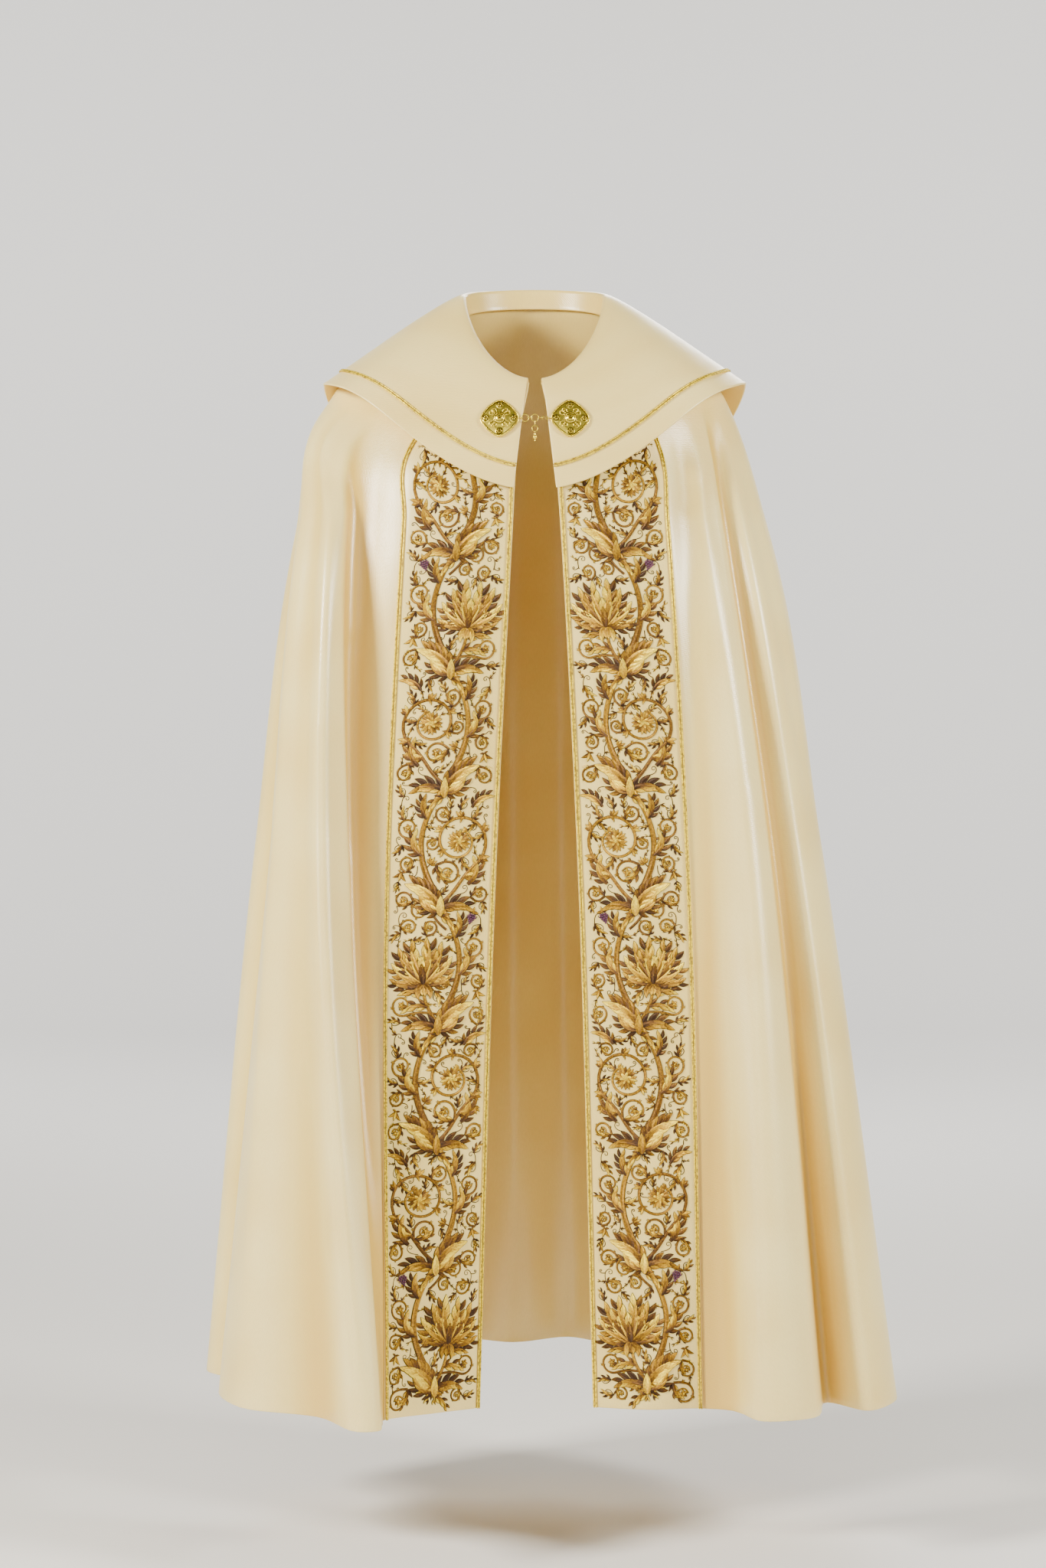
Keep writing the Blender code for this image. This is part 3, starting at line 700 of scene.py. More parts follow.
@dataclass(frozen=True)
class CloakForm:
    """The worn cloak's form: the fold lines and sections of the part's source."""

    collar: CollarForm = CollarForm()
    chest_z: float = -0.280
    waist_z: float = -0.667
    hem_z: float = -1.340
    shoulder: Section = Section("shoulder", 0.246, 0.231, -0.151, 0.148, -0.104, 0.088, 0.020)
    upper_arm: Section = Section("upper arm", 0.268, 0.248, -0.155, 0.163, -0.137, 0.080, 0.020)
    folds_at_upper_arm: float = 0.45
    shoulder_drop_power: float = 1.6
    front_depth: float = 0.155
    orphrey_half_column: float = 0.066
    braid_width: float = 0.0055
    back_chest: BackOval = BackOval(0.292, 0.182, 0.22)
    back_waist: BackOval = BackOval(0.348, 0.232, 0.55)
    back_hem: BackOval = BackOval(0.420, 0.292, 1.00)
    left_front: tuple[FoldLine, ...] = (
        #        name                 deg    chest x, y        waist x, y        hem x, y
        FoldLine("front edge",        -5.0, -0.027, -0.157, -0.046, -0.158, -0.067, -0.185),
        FoldLine("orphrey middle",   -20.0, -0.093, -0.159, -0.111, -0.168, -0.121, -0.220),
        FoldLine("orphrey outer",    -34.5, -0.160, -0.148, -0.178, -0.163, -0.177, -0.262),
        FoldLine("valley",           -49.0, -0.214, -0.130, -0.221, -0.152, -0.176, -0.298),
        FoldLine("bulge edge",       -53.0, -0.229, -0.150, -0.225, -0.190, -0.181, -0.326),
        FoldLine("bulge front",      -58.0, -0.244, -0.156, -0.248, -0.214, -0.205, -0.330),
        FoldLine("dip",              -64.0, -0.260, -0.136, -0.277, -0.186, -0.256, -0.242),
        FoldLine("broad ridge",      -70.0, -0.277, -0.117, -0.306, -0.154, -0.338, -0.196),
        FoldLine("flank",            -79.0, -0.287, -0.072, -0.322, -0.092, -0.386, -0.092),
        FoldLine("crease",           -90.0, -0.283, -0.018, -0.314, -0.018, -0.368, -0.012),
        FoldLine("back fold",       -102.0, -0.302,  0.045, -0.353,  0.058, -0.416,  0.066),
        FoldLine("back fold rear",  -112.0, -0.282,  0.083, -0.330,  0.112, -0.398,  0.146),
    )
    right_front: tuple[FoldLine, ...] = (
        #        name                 deg    chest x, y        waist x, y        hem x, y
        FoldLine("front edge",         6.0,  0.031, -0.157,  0.051, -0.158,  0.070, -0.180),
        FoldLine("orphrey middle",    22.0,  0.096, -0.159,  0.117, -0.170,  0.134, -0.197),
        FoldLine("orphrey outer",     38.0,  0.160, -0.147,  0.184, -0.164,  0.200, -0.190),
        FoldLine("strip",             47.0,  0.190, -0.134,  0.216, -0.164,  0.236, -0.204),
        FoldLine("first bulge",       53.0,  0.210, -0.131,  0.250, -0.182,  0.266, -0.268),
        FoldLine("bulge side",        59.0,  0.226, -0.116,  0.277, -0.162,  0.328, -0.246),
        FoldLine("valley",            64.0,  0.233, -0.098,  0.287, -0.124,  0.352, -0.152),
        FoldLine("second bulge",      71.0,  0.253, -0.100,  0.315, -0.132,  0.391, -0.202),
        FoldLine("second side",       80.0,  0.277, -0.070,  0.344, -0.092,  0.432, -0.150),
        FoldLine("flank",             91.0,  0.290, -0.024,  0.354, -0.024,  0.438, -0.052),
        FoldLine("rear",             102.0,  0.281,  0.036,  0.342,  0.054,  0.418,  0.062),
        FoldLine("rear dip",         111.0,  0.265,  0.075,  0.316,  0.104,  0.384,  0.128),
    )
    back_lines: tuple[BackLine, ...] = (
        BackLine(-121.0, -0.014), BackLine(-130.0, 0.022), BackLine(-139.0, -0.018),
        BackLine(-149.0, 0.030), BackLine(-159.0, -0.024), BackLine(-168.0, 0.018),
        BackLine(-176.0, -0.016), BackLine(-186.0, 0.027), BackLine(-196.0, -0.022),
        BackLine(-206.0, 0.030), BackLine(-216.0, -0.016), BackLine(-225.0, 0.020),
        BackLine(-234.0, -0.014), BackLine(-241.0, 0.014),
    )
    creases: tuple[Crease, ...] = ()

    def shoulder_point(self, section: Section, degrees: float) -> np.ndarray:
        """Return the point of a shoulder section that lies this far round it."""
        turn = math.radians(degrees)
        side, ahead = math.sin(turn), math.cos(turn)
        half = section.right if side > 0 else section.left
        depth = section.front_y if ahead > 0 else -section.back_y
        drop = section.front_drop if ahead > 0 else section.back_drop
        fall = drop * abs(ahead) ** self.shoulder_drop_power
        return np.array([half * side, depth * ahead, section.side_z - fall])

    def back_point(self, oval: BackOval, line: BackLine, height: float) -> np.ndarray:
        """Return a back fold line's point at one height."""
        turn = math.radians(line.deg)
        out = line.out_at_hem * oval.fold_growth
        wide, deep = oval.half_width + out, oval.back_y + out
        return np.array([wide * math.sin(turn), -deep * math.cos(turn), height])

    def plain_chest_radius(self, degrees: float) -> float:
        """Return how far from the middle the chest lies where it has no fold."""
        turn = math.radians(degrees)
        depth = self.front_depth if math.cos(turn) > 0 else self.back_chest.back_y
        return math.hypot(self.back_chest.half_width * math.sin(turn), depth * math.cos(turn))

    def level_points(self, line: FoldLine) -> list[np.ndarray]:
        """Return a front fold line's points at chest, waist and hem."""
        return [
            np.array([line.chest_x, line.chest_y, self.chest_z]),
            np.array([line.waist_x, line.waist_y, self.waist_z]),
            np.array([line.hem_x, line.hem_y, self.hem_z]),
        ]

    def fold_line_points(self) -> list[tuple[float, list[np.ndarray]]]:
        """Return each fold line's angle and its points at chest, waist and hem, in order."""
        rows = [(line.shoulder_deg, self.level_points(line)) for line in self.left_front]
        for line in self.back_lines:
            rows.append((line.deg, [
                self.back_point(self.back_chest, line, self.chest_z),
                self.back_point(self.back_waist, line, self.waist_z),
                self.back_point(self.back_hem, line, self.hem_z),
            ]))
        for line in reversed(self.right_front):
            rows.append((line.shoulder_deg - 360.0, self.level_points(line)))
        return rows

    def sections(self) -> np.ndarray:
        """Return every fold line's points on the six sections, from the neck to the hem."""
        columns = []
        for degrees, (chest, waist, hem) in self.fold_line_points():
            upper = self.shoulder_point(self.upper_arm, degrees)
            extra = math.hypot(chest[0], chest[1]) - self.plain_chest_radius(degrees)
            stretch = 1.0 + self.folds_at_upper_arm * extra / math.hypot(upper[0], upper[1])
            columns.append([
                self.collar.cloak_neck_point(degrees),
                self.shoulder_point(self.shoulder, degrees),
                upper * np.array([stretch, stretch, 1.0]),
                chest,
                waist,
                hem,
            ])
        return np.array(columns).transpose(1, 0, 2)

    def surface(self, lines: np.ndarray, places: np.ndarray) -> np.ndarray:
        """Return a grid of the cloak's outer face, with no creases.

        Args:
            lines: Fold line numbers, one for each column.
            places: Section numbers, one for each ring.

        Returns:
            Rings by columns of points.
        """
        sections = self.sections()
        steps = np.linalg.norm(np.diff(sections[3:], axis=1), axis=2).mean(axis=0)
        along = np.concatenate([[0.0], np.cumsum(steps)])
        wanted = np.interp(lines, np.arange(len(along)), along)
        source = self.source_columns(len(along))
        coarse = np.array([
            smooth_through(section, along, np.interp(source, np.arange(len(along)), along))
            for section in sections
        ])
        down = np.concatenate([[0.0], np.cumsum(
            np.linalg.norm(np.diff(coarse, axis=0), axis=2).mean(axis=1))])
        wide = np.array([smooth_through(section, along, wanted) for section in sections])
        return smooth_through(wide, down, np.interp(places, np.arange(len(down)), down))

    def source_columns(self, lines: int) -> np.ndarray:
        """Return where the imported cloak's own columns lie along its fold lines."""
        share = self.braid_width / self.orphrey_half_column
        left = [0.0, share, 0.55, 1.0, 1.5, 2.0 - share, 2.0]
        last = lines - 1.0
        middle = np.arange(2.5, last - 2.0, 0.5)
        return np.array([*left, *middle, *(last - place for place in reversed(left))])

    def creased(self, lines: np.ndarray, places: np.ndarray) -> np.ndarray:
        """Return a grid of the cloak's outer face with its creases; arguments as for surface."""
        grid = self.surface(lines, places)
        normals = grid_normals(grid)
        height = np.zeros(grid.shape[:2])
        for crease in self.creases:
            height += self.crease_height(crease, grid)
        return grid + normals * height[..., None]

    def crease_height(self, crease: Crease, grid: np.ndarray) -> np.ndarray:
        """Return how far one crease lifts each point of a grid."""
        steps = np.linspace(0.0, 1.0, CREASE_STEPS + 1)
        lines = crease.line + (crease.end_line - crease.line) * steps
        places = crease.section + (crease.end_section - crease.section) * steps
        route = np.array([self.surface(lines[[k]], places[[k]])[0, 0] for k in range(len(steps))])
        starts, ways = route[:-1], np.diff(route, axis=0)
        away = grid[:, :, None, :] - starts
        share = np.clip((away * ways).sum(axis=3) / (ways**2).sum(axis=1), 0.0, 1.0)
        nearest = np.linalg.norm(away - share[..., None] * ways, axis=3)
        piece = nearest.argmin(axis=2)
        distance = np.take_along_axis(nearest, piece[..., None], 2)[..., 0]
        place = (piece + np.take_along_axis(share, piece[..., None], 2)[..., 0]) / CREASE_STEPS
        fade = np.sin(np.pi * np.clip(CREASE_END + (1.0 - 2.0 * CREASE_END) * place, 0.0, 1.0))
        return crease.height * fade * np.exp(-(distance / crease.half_width) ** 2)


def fold_depth(grid: np.ndarray, reaches: Sequence[int] = (3, 6, 10)) -> np.ndarray:
    """Return how deep in a fold each point of a grid lies: to 1 in a valley, to -1 on a ridge.

    Args:
        grid: Rings by columns of points.
        reaches: How many columns away the cloth beside the point is looked at.

    Returns:
        Rings by columns of depths.
    """
    normals = grid_normals(grid)
    total = np.zeros(grid.shape[:2])
    for reach in reaches:
        padded = np.pad(grid, ((0, 0), (reach, reach), (0, 0)), mode="edge")
        left, right = padded[:, :-2 * reach], padded[:, 2 * reach:]
        sunk = (((left + right) / 2.0 - grid) * normals).sum(axis=2)
        span = np.linalg.norm(right - left, axis=2) + 1e-6
        total += sunk / span * FOLD_CONTRAST
    total = np.clip(total, -1.0, 1.0)
    for _ in range(FOLD_SMOOTHINGS):
        padded = np.pad(total, ((1, 1), (1, 1)), mode="edge")
        total = (padded[1:-1, 1:-1] * 2 + padded[:-2, 1:-1] + padded[2:, 1:-1]
                 + padded[1:-1, :-2] + padded[1:-1, 2:]) / 6.0
    return total


def link_piece(name: str, mesh: Mesh, material: Material) -> Object:
    """Put a mesh in the scene as a piece with one material."""
    if not mesh.materials:
        mesh.materials.append(material)
    piece = bpy.data.objects.new(name, mesh)
    bpy.context.scene.collection.objects.link(piece)
    return piece


def set_attribute(mesh: Mesh, name: str, values: np.ndarray) -> None:
    """Give a mesh's points a number or a vector each.

    Args:
        mesh: The mesh.
        name: The attribute's name.
        values: One number, or one row of three, for each point.
    """
    kind, key = ("FLOAT", "value") if values.ndim == 1 else ("FLOAT_VECTOR", "vector")
    made = mesh.attributes.new(name, kind, "POINT")
    made.data.foreach_set(key, values.astype(np.float32).ravel())


def set_uv(mesh: Mesh, places: np.ndarray) -> None:
    """Give a mesh the UV map "cloth", one place in metres for each point."""
    corners = np.empty(len(mesh.loops), np.int32)
    mesh.loops.foreach_get("vertex_index", corners)
    layer = mesh.uv_layers.new(name="cloth")
    layer.data.foreach_set("uv", places[corners].astype(np.float32).ravel())


def grid_faces(rings: int, columns: int, start: int = 0) -> np.ndarray:
    """Return the quads of a grid whose points are numbered ring by ring from start."""
    first = start + np.arange(rings - 1)[:, None] * columns + np.arange(columns - 1)
    return np.stack([first, first + 1, first + columns + 1, first + columns], axis=2).reshape(-1, 4)


@dataclass(frozen=True)
class Cloth:
    """A sheet of cloth: a grid of outer points with its wall inside them."""

    name: str
    grid: np.ndarray
    wall: float
    material: Material
    depth: np.ndarray | None = None
    rim_steps: int = 4

    def make(self) -> Object:
        """Return the sheet as a piece."""
        rings, columns = self.grid.shape[:2]
        points = self.grid.reshape(-1, 3)
        inner = (self.grid - grid_normals(self.grid) * self.wall).reshape(-1, 3)
        loop = self.rim_loop(rings, columns)
        edge = self.rim_outward().reshape(-1, 3)[loop]
        middle = (points[loop] + inner[loop]) / 2.0
        half = (points[loop] - inner[loop]) / 2.0
        rows = [middle + half * math.cos(turn) + edge * (self.wall / 2.0 * math.sin(turn))
                for turn in (math.pi * step / self.rim_steps for step in range(1, self.rim_steps))]
        total = rings * columns
        faces = [grid_faces(rings, columns), grid_faces(rings, columns, total)[:, ::-1]]
        chain = [loop, *(2 * total + k * len(loop) + np.arange(len(loop)) for k in range(len(rows))),
                 loop + total]
        for upper, lower in zip(chain, chain[1:]):
            faces.append(np.stack([upper, lower, np.roll(lower, -1), np.roll(upper, -1)], axis=1))
        mesh = bpy.data.meshes.new(self.name)
        corners = np.concatenate([points, inner, *rows])
        mesh.from_pydata(corners.tolist(), [], np.concatenate(faces).tolist())
        across = lengths_along(self.grid, 1)
        across = across - across[:, [columns // 2]]
        flat = np.stack([across, lengths_along(self.grid, 0)], axis=2).reshape(-1, 2)
        set_uv(mesh, np.concatenate([flat, flat, *(flat[loop] for _ in rows)]))
        # the "fold" attribute carries the satin's painted shade in valleys and painted highlight on
        # ridges; the inner face gets none
        depth = (fold_depth(self.grid) if self.depth is None else self.depth).ravel()
        plain = np.zeros(total)
        set_attribute(mesh, "fold", np.concatenate([depth, plain, *(depth[loop] for _ in rows)]))
        mesh.shade_smooth()
        return link_piece(self.name, mesh, self.material)

    def rim_outward(self) -> np.ndarray:
        """Return for each point of the grid which way the sheet ends there."""
        outward = np.zeros_like(self.grid)
        outward[0] += self.grid[0] - self.grid[1]
        outward[-1] += self.grid[-1] - self.grid[-2]
        for last, before in ((0, 1), (-1, -2)):
            way = self.grid[:, last] - self.grid[:, before]
            own = np.linalg.norm(outward[:, last], axis=1, keepdims=True)
            way = way / np.linalg.norm(way, axis=1, keepdims=True)
            outward[:, last] = outward[:, last] / np.maximum(own, 1e-9) + way
        return outward / np.maximum(np.linalg.norm(outward, axis=2, keepdims=True), 1e-9)

    @staticmethod
    def rim_loop(rings: int, columns: int) -> np.ndarray:
        """Return the numbers of a grid's rim points, in order round it."""
        top = np.arange(columns)
        right = np.arange(1, rings) * columns + columns - 1
        bottom = (rings - 1) * columns + np.arange(columns - 2, -1, -1)
        left = np.arange(rings - 2, 0, -1) * columns
        return np.concatenate([top, right, bottom, left])


@dataclass(frozen=True)
class BandMap:
    """An orphrey's face, read by metres across from its middle and metres down from its top."""

    points: np.ndarray
    normals: np.ndarray

    @property
    def middle_lengths(self) -> np.ndarray:
        """Return how far down each ring lies along the band's middle."""
        middle = self.points.shape[1] // 2
        return lengths_along(self.points[:, middle:middle + 1], 0)[:, 0]

    @property
    def length(self) -> float:
        """Return the band's length along its middle."""
        return float(self.middle_lengths[-1])

    def half_width(self, down: np.ndarray) -> np.ndarray:
        """Return half the band's width at each place down it."""
        halves = lengths_along(self.points, 1)[:, -1] / 2.0
        return np.interp(down, self.middle_lengths, halves)

    def place(self, flat: np.ndarray, lift: np.ndarray) -> np.ndarray:
        """Put flat points on the band.

        Args:
            flat: Complex numbers: metres across, and metres down as the imaginary part.
            lift: How far each point stands off the band's face.

        Returns:
            One row of three for each point.
        """
        rings, columns = self.points.shape[:2]
        ring = np.interp(flat.imag, self.middle_lengths, np.arange(rings))
        share = np.clip(flat.real / self.half_width(flat.imag), -0.999, 0.999)
        column = (share + 1.0) / 2.0 * (columns - 1)
        i = np.minimum(ring.astype(int), rings - 2)
        j = np.minimum(column.astype(int), columns - 2)
        u, v = (ring - i)[:, None], (column - j)[:, None]
        found = []
        for values in (self.points, self.normals):
            upper = values[i, j] * (1 - v) + values[i, j + 1] * v
            lower = values[i + 1, j] * (1 - v) + values[i + 1, j + 1] * v
            found.append(upper * (1 - u) + lower * u)
        return found[0] + found[1] * lift[:, None]


CLOAK_CREASES = (
    #      line, section  end line, section  half width, height
    Crease(3.2,  2.6,     3.3,      4.0,     0.016,     -0.0050),
    Crease(5.1,  2.7,     5.0,      4.9,     0.014,      0.0050),
    Crease(7.2,  2.1,     7.1,      5.2,     0.022,      0.0060),
    Crease(3.0,  3.4,     3.1,      5.3,     0.010,     -0.0040),
    Crease(35.1, 2.4,     35.0,     4.2,     0.014,      0.0045),
    Crease(33.2, 2.6,     33.0,     4.8,     0.014,     -0.0050),
    Crease(33.9, 3.0,     34.0,     5.2,     0.016,      0.0050),
    Crease(30.6, 2.0,     30.7,     4.3,     0.015,     -0.0050),
    Crease(4.6,  2.2,     5.4,      3.6,     0.012,     -0.0030),
    Crease(6.5,  2.4,     6.9,      4.2,     0.016,     -0.0035),
    Crease(8.4,  2.0,     8.0,      3.9,     0.018,      0.0030),
    Crease(9.6,  2.6,     9.3,      4.6,     0.020,     -0.0040),
    Crease(2.5,  2.0,     2.7,      3.4,     0.010,     -0.0020),
    Crease(32.6, 2.0,     32.2,     3.8,     0.013,     -0.0030),
    Crease(31.4, 2.4,     31.0,     4.4,     0.016,      0.0030),
    Crease(29.4, 2.2,     29.0,     4.0,     0.018,     -0.0035),
    Crease(34.3, 1.9,     34.2,     3.2,     0.010,     -0.0020),
    Crease(13.4, 2.3,     13.8,     3.9,     0.016,     -0.0035),
    Crease(15.6, 2.1,     15.2,     4.1,     0.014,      0.0030),
    Crease(17.5, 2.6,     17.7,     4.5,     0.018,     -0.0040),
    Crease(19.3, 2.0,     19.6,     3.7,     0.015,      0.0035),
    Crease(21.6, 2.4,     21.3,     4.3,     0.016,     -0.0035),
    Crease(23.4, 2.2,     23.8,     4.0,     0.014,     -0.0030),
    Crease(25.5, 2.5,     25.2,     4.4,     0.018,      0.0035),
)


@dataclass
class Cloak:
    """The cloak and the satin grounds of the two orphreys that are sewn on its fronts."""

    satin: Material
    form: CloakForm = CloakForm(creases=CLOAK_CREASES)
    wall: float = 0.0020
    orphrey_wall: float = 0.0015
    seam_gap: float = 0.0004
    columns_per_line: int = 6
    rings: tuple[int, ...] = (8, 4, 18, 52, 84)
    top_ring: int = 4
    orphrey_lines: float = 2.0
    grid: np.ndarray = field(init=False)
    normals: np.ndarray = field(init=False)

    def __post_init__(self) -> None:
        """Work out the grid that the cloak, orphreys and braids share."""
        lines = len(self.form.fold_line_points()) - 1
        columns = np.linspace(0.0, lines, lines * self.columns_per_line + 1)
        places = [0.0]
        for section, rings in enumerate(self.rings):
            places.extend(section + (k + 1) / rings for k in range(rings))
        self.grid = self.form.creased(columns, np.array(places))
        self.normals = grid_normals(self.grid)

    @property
    def orphrey_lift(self) -> float:
        """Return how far an orphrey's face stands off the cloak's."""
        return self.seam_gap + self.orphrey_wall

    def band(self, side: Side) -> BandMap:
        """Return an orphrey's face."""
        columns = int(self.orphrey_lines * self.columns_per_line) + 1
        across = slice(0, columns) if side is Side.LEFT else slice(-columns, None)
        rings = slice(self.top_ring, None)
        normals = self.normals[rings, across]
        return BandMap(self.grid[rings, across] + normals * self.orphrey_lift, normals)

    def make(self) -> None:
        """Make the cloak and the two grounds."""
        cloak = Cloth("cloak_satin", self.grid, self.wall, self.satin).make()
        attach(cloak, VESTMENT)
        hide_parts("cloak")
        for side in Side:
            face = self.band(side)
            flat = (2.0 * float(face.half_width(np.array([face.length / 2]))[0]), face.length)
            name = f"orphrey_{side.word}"
            # the orphrey grounds get no painted fold shade or painted highlight
            depth = np.zeros(face.points.shape[:2])
            ground = Cloth(f"{name}_ground", face.points, self.orphrey_wall, self.satin, depth).make()
            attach(ground, VESTMENT)
            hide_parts(name)
        log.info("cloak: %d points", self.grid.shape[0] * self.grid.shape[1])


@dataclass
class Collar:
    """The falling collar, with its rolled edge."""

    satin: Material
    form: CollarForm = CollarForm()
    columns: int = 236
    stand_rows: int = 6
    fall_rows: int = 46
    edge_rows: int = 12
    braid_above_edge: float = 0.024
    braid_width: float = 0.0055

    @property
    def turns(self) -> list[float]:
        """Return the way round of each column, in degrees."""
        opening = self.form.opening_deg
        return np.linspace(-opening, opening - 360.0, self.columns + 1).tolist()

    def fall_length(self, degrees: float) -> float:
        """Return the straight length of the fall at one way round."""
        return (self.form.point(degrees, 1.0) - self.form.point(degrees, 0.0)).length

    def braid_route(self, side: float, lift: float) -> np.ndarray:
        """Return a line along the braid's band.

        Args:
            side: 0 at the band's upper edge, 1 at its lower edge.
            lift: How far the line stands off the collar.

        Returns:
            The line's points.
        """
        points = []
        for degrees in self.turns:
            length = self.fall_length(degrees)
            share = 1.0 - (self.braid_above_edge + self.braid_width * (1.0 - side)) / length
            around = self.form.point(degrees - 0.5, share) - self.form.point(degrees + 0.5, share)
            down = self.form.point(degrees, share + 0.01) - self.form.point(degrees, share - 0.01)
            points.append(self.form.point(degrees, share) + around.cross(down).normalized() * lift)
        return np.array(points)

    def make(self) -> Object:
        """Make the collar."""
        shares = np.concatenate([
            np.linspace(0.0, 1.0, self.fall_rows) ** 1.15 * 0.955,
            np.linspace(0.96, 1.0, self.edge_rows),
        ])
        rows = [[self.form.stand_point(turn, share) for turn in self.turns]
                for share in np.linspace(0.0, 0.85, self.stand_rows).tolist()]
        rows += [[self.form.point(turn, share) for turn in self.turns] for share in shares.tolist()]
        grid = np.array(rows, float)
        collar = Cloth("collar_satin", grid, self.form.wall, self.satin).make()
        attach(collar, VESTMENT)
        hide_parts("collar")
        log.info("collar: %d points", grid.shape[0] * grid.shape[1])
        return collar


class Stitch(Enum):
    """How a stitched form is worked."""

    PADDED = "padded satin stitch on both sides of a vein"
    CORD = "couched round cord"


FINE_HALF = 0.00135
PLAIN_HALF = 0.0034
# cross sections of a form: shares of its half width and of its height
FINE_PROFILE = ((-1.0, 0.0), (0.0, 1.0), (1.0, 0.0))
PLAIN_PROFILE = ((-1.0, 0.0), (-0.55, 0.9), (0.0, 0.85), (0.55, 0.9), (1.0, 0.0))
VEINED_PROFILE = (
    (-1.0, 0.0), (-0.85, 0.65), (-0.45, 1.0), (0.0, 0.78), (0.45, 1.0), (0.85, 0.65), (1.0, 0.0),
)


@dataclass(frozen=True)
class Form:
    """One stitched form, flat on its band: metres across, and metres down as imaginary parts."""

    line: np.ndarray
    half: np.ndarray
    tones: tuple[float, float]
    layer: int = 0
    stitch: Stitch = Stitch.PADDED

    @property
    def profile(self) -> tuple[tuple[float, float], ...]:
        """Return the form's cross section, with fewer points where it is narrow."""
        widest = float(self.half.max())
        if widest < FINE_HALF:
            return FINE_PROFILE
        if self.stitch is Stitch.CORD or widest < PLAIN_HALF:
            return PLAIN_PROFILE
        return VEINED_PROFILE


def curl_line(
    start: complex, heading: float, length: float, bend: float, tightening: float = 1.0, steps: int = 12
) -> np.ndarray:
    """Return a line that turns as it goes.

    Args:
        start: Its first point.
        heading: Its first direction in radians; 0 goes across and a quarter turn goes down.
        length: Its length.
        bend: How far it turns in all, in radians.
        tightening: 1 for an even bend, more for a spiral that tightens.
        steps: How many straight steps it has.

    Returns:
        Its points as complex numbers.
    """
    shares = (np.arange(steps) + 0.5) / steps
    ways = np.exp(1j * (heading + bend * shares**tightening))
    return start + np.concatenate([[0.0], np.cumsum(ways)]) * length / steps


def line_heading(line: np.ndarray, share: float) -> float:
    """Return a line's direction in radians at a share of its length."""
    k = min(int(share * (len(line) - 1)), len(line) - 2)
    return float(np.angle(line[k + 1] - line[k]))


def line_point(line: np.ndarray, share: float) -> complex:
    """Return a line's point at a share of its length."""
    place = share * (len(line) - 1)
    k = min(int(place), len(line) - 2)
    return complex(line[k] + (line[k + 1] - line[k]) * (place - k))


def spiral_line(
    middle: complex, radius: float, end_radius: float, start_turn: float, bend: float, steps: int = 32
) -> np.ndarray:
    """Return a line that winds inwards round a point.

    Args:
        middle: The point.
        radius: How far from it the line starts.
        end_radius: How far from it the line ends.
        start_turn: The direction of its start from the middle, in radians.
        bend: How far it winds, in radians.
        steps: How many straight steps it has.

    Returns:
        Its points as complex numbers.
    """
    shares = np.linspace(0.0, 1.0, steps + 1)
    reach = radius * (end_radius / radius) ** (shares**1.25)
    return middle + reach * np.exp(1j * (start_turn + bend * shares))


def joined_line(start: complex, heading: float, line: np.ndarray, steps: int = 12) -> np.ndarray:
    """Return a line with a smooth run before it that starts elsewhere.

    Args:
        start: Where the run starts.
        heading: The run's first direction.
        line: The line that it runs into.
        steps: How many straight steps the run has.

    Returns:
        The run and the line as one.
    """
    end = complex(line[0])
    pull = abs(end - start) * 0.40
    first = start + pull * np.exp(1j * heading)
    second = end - pull * np.exp(1j * line_heading(line, 0.0))
    t = np.linspace(0.0, 1.0, steps, endpoint=False)
    run = start * (1 - t) ** 3 + 3 * first * t * (1 - t) ** 2
    run = run + 3 * second * t**2 * (1 - t) + end * t**3
    return np.concatenate([run, line])


# bare radii that get a small scroll, a leaf with a tendril, or one small leaf or tendril
SCROLL_ROOM = 0.0095
LEAF_ROOM = 0.0062
LEAST_ROOM = 0.0042


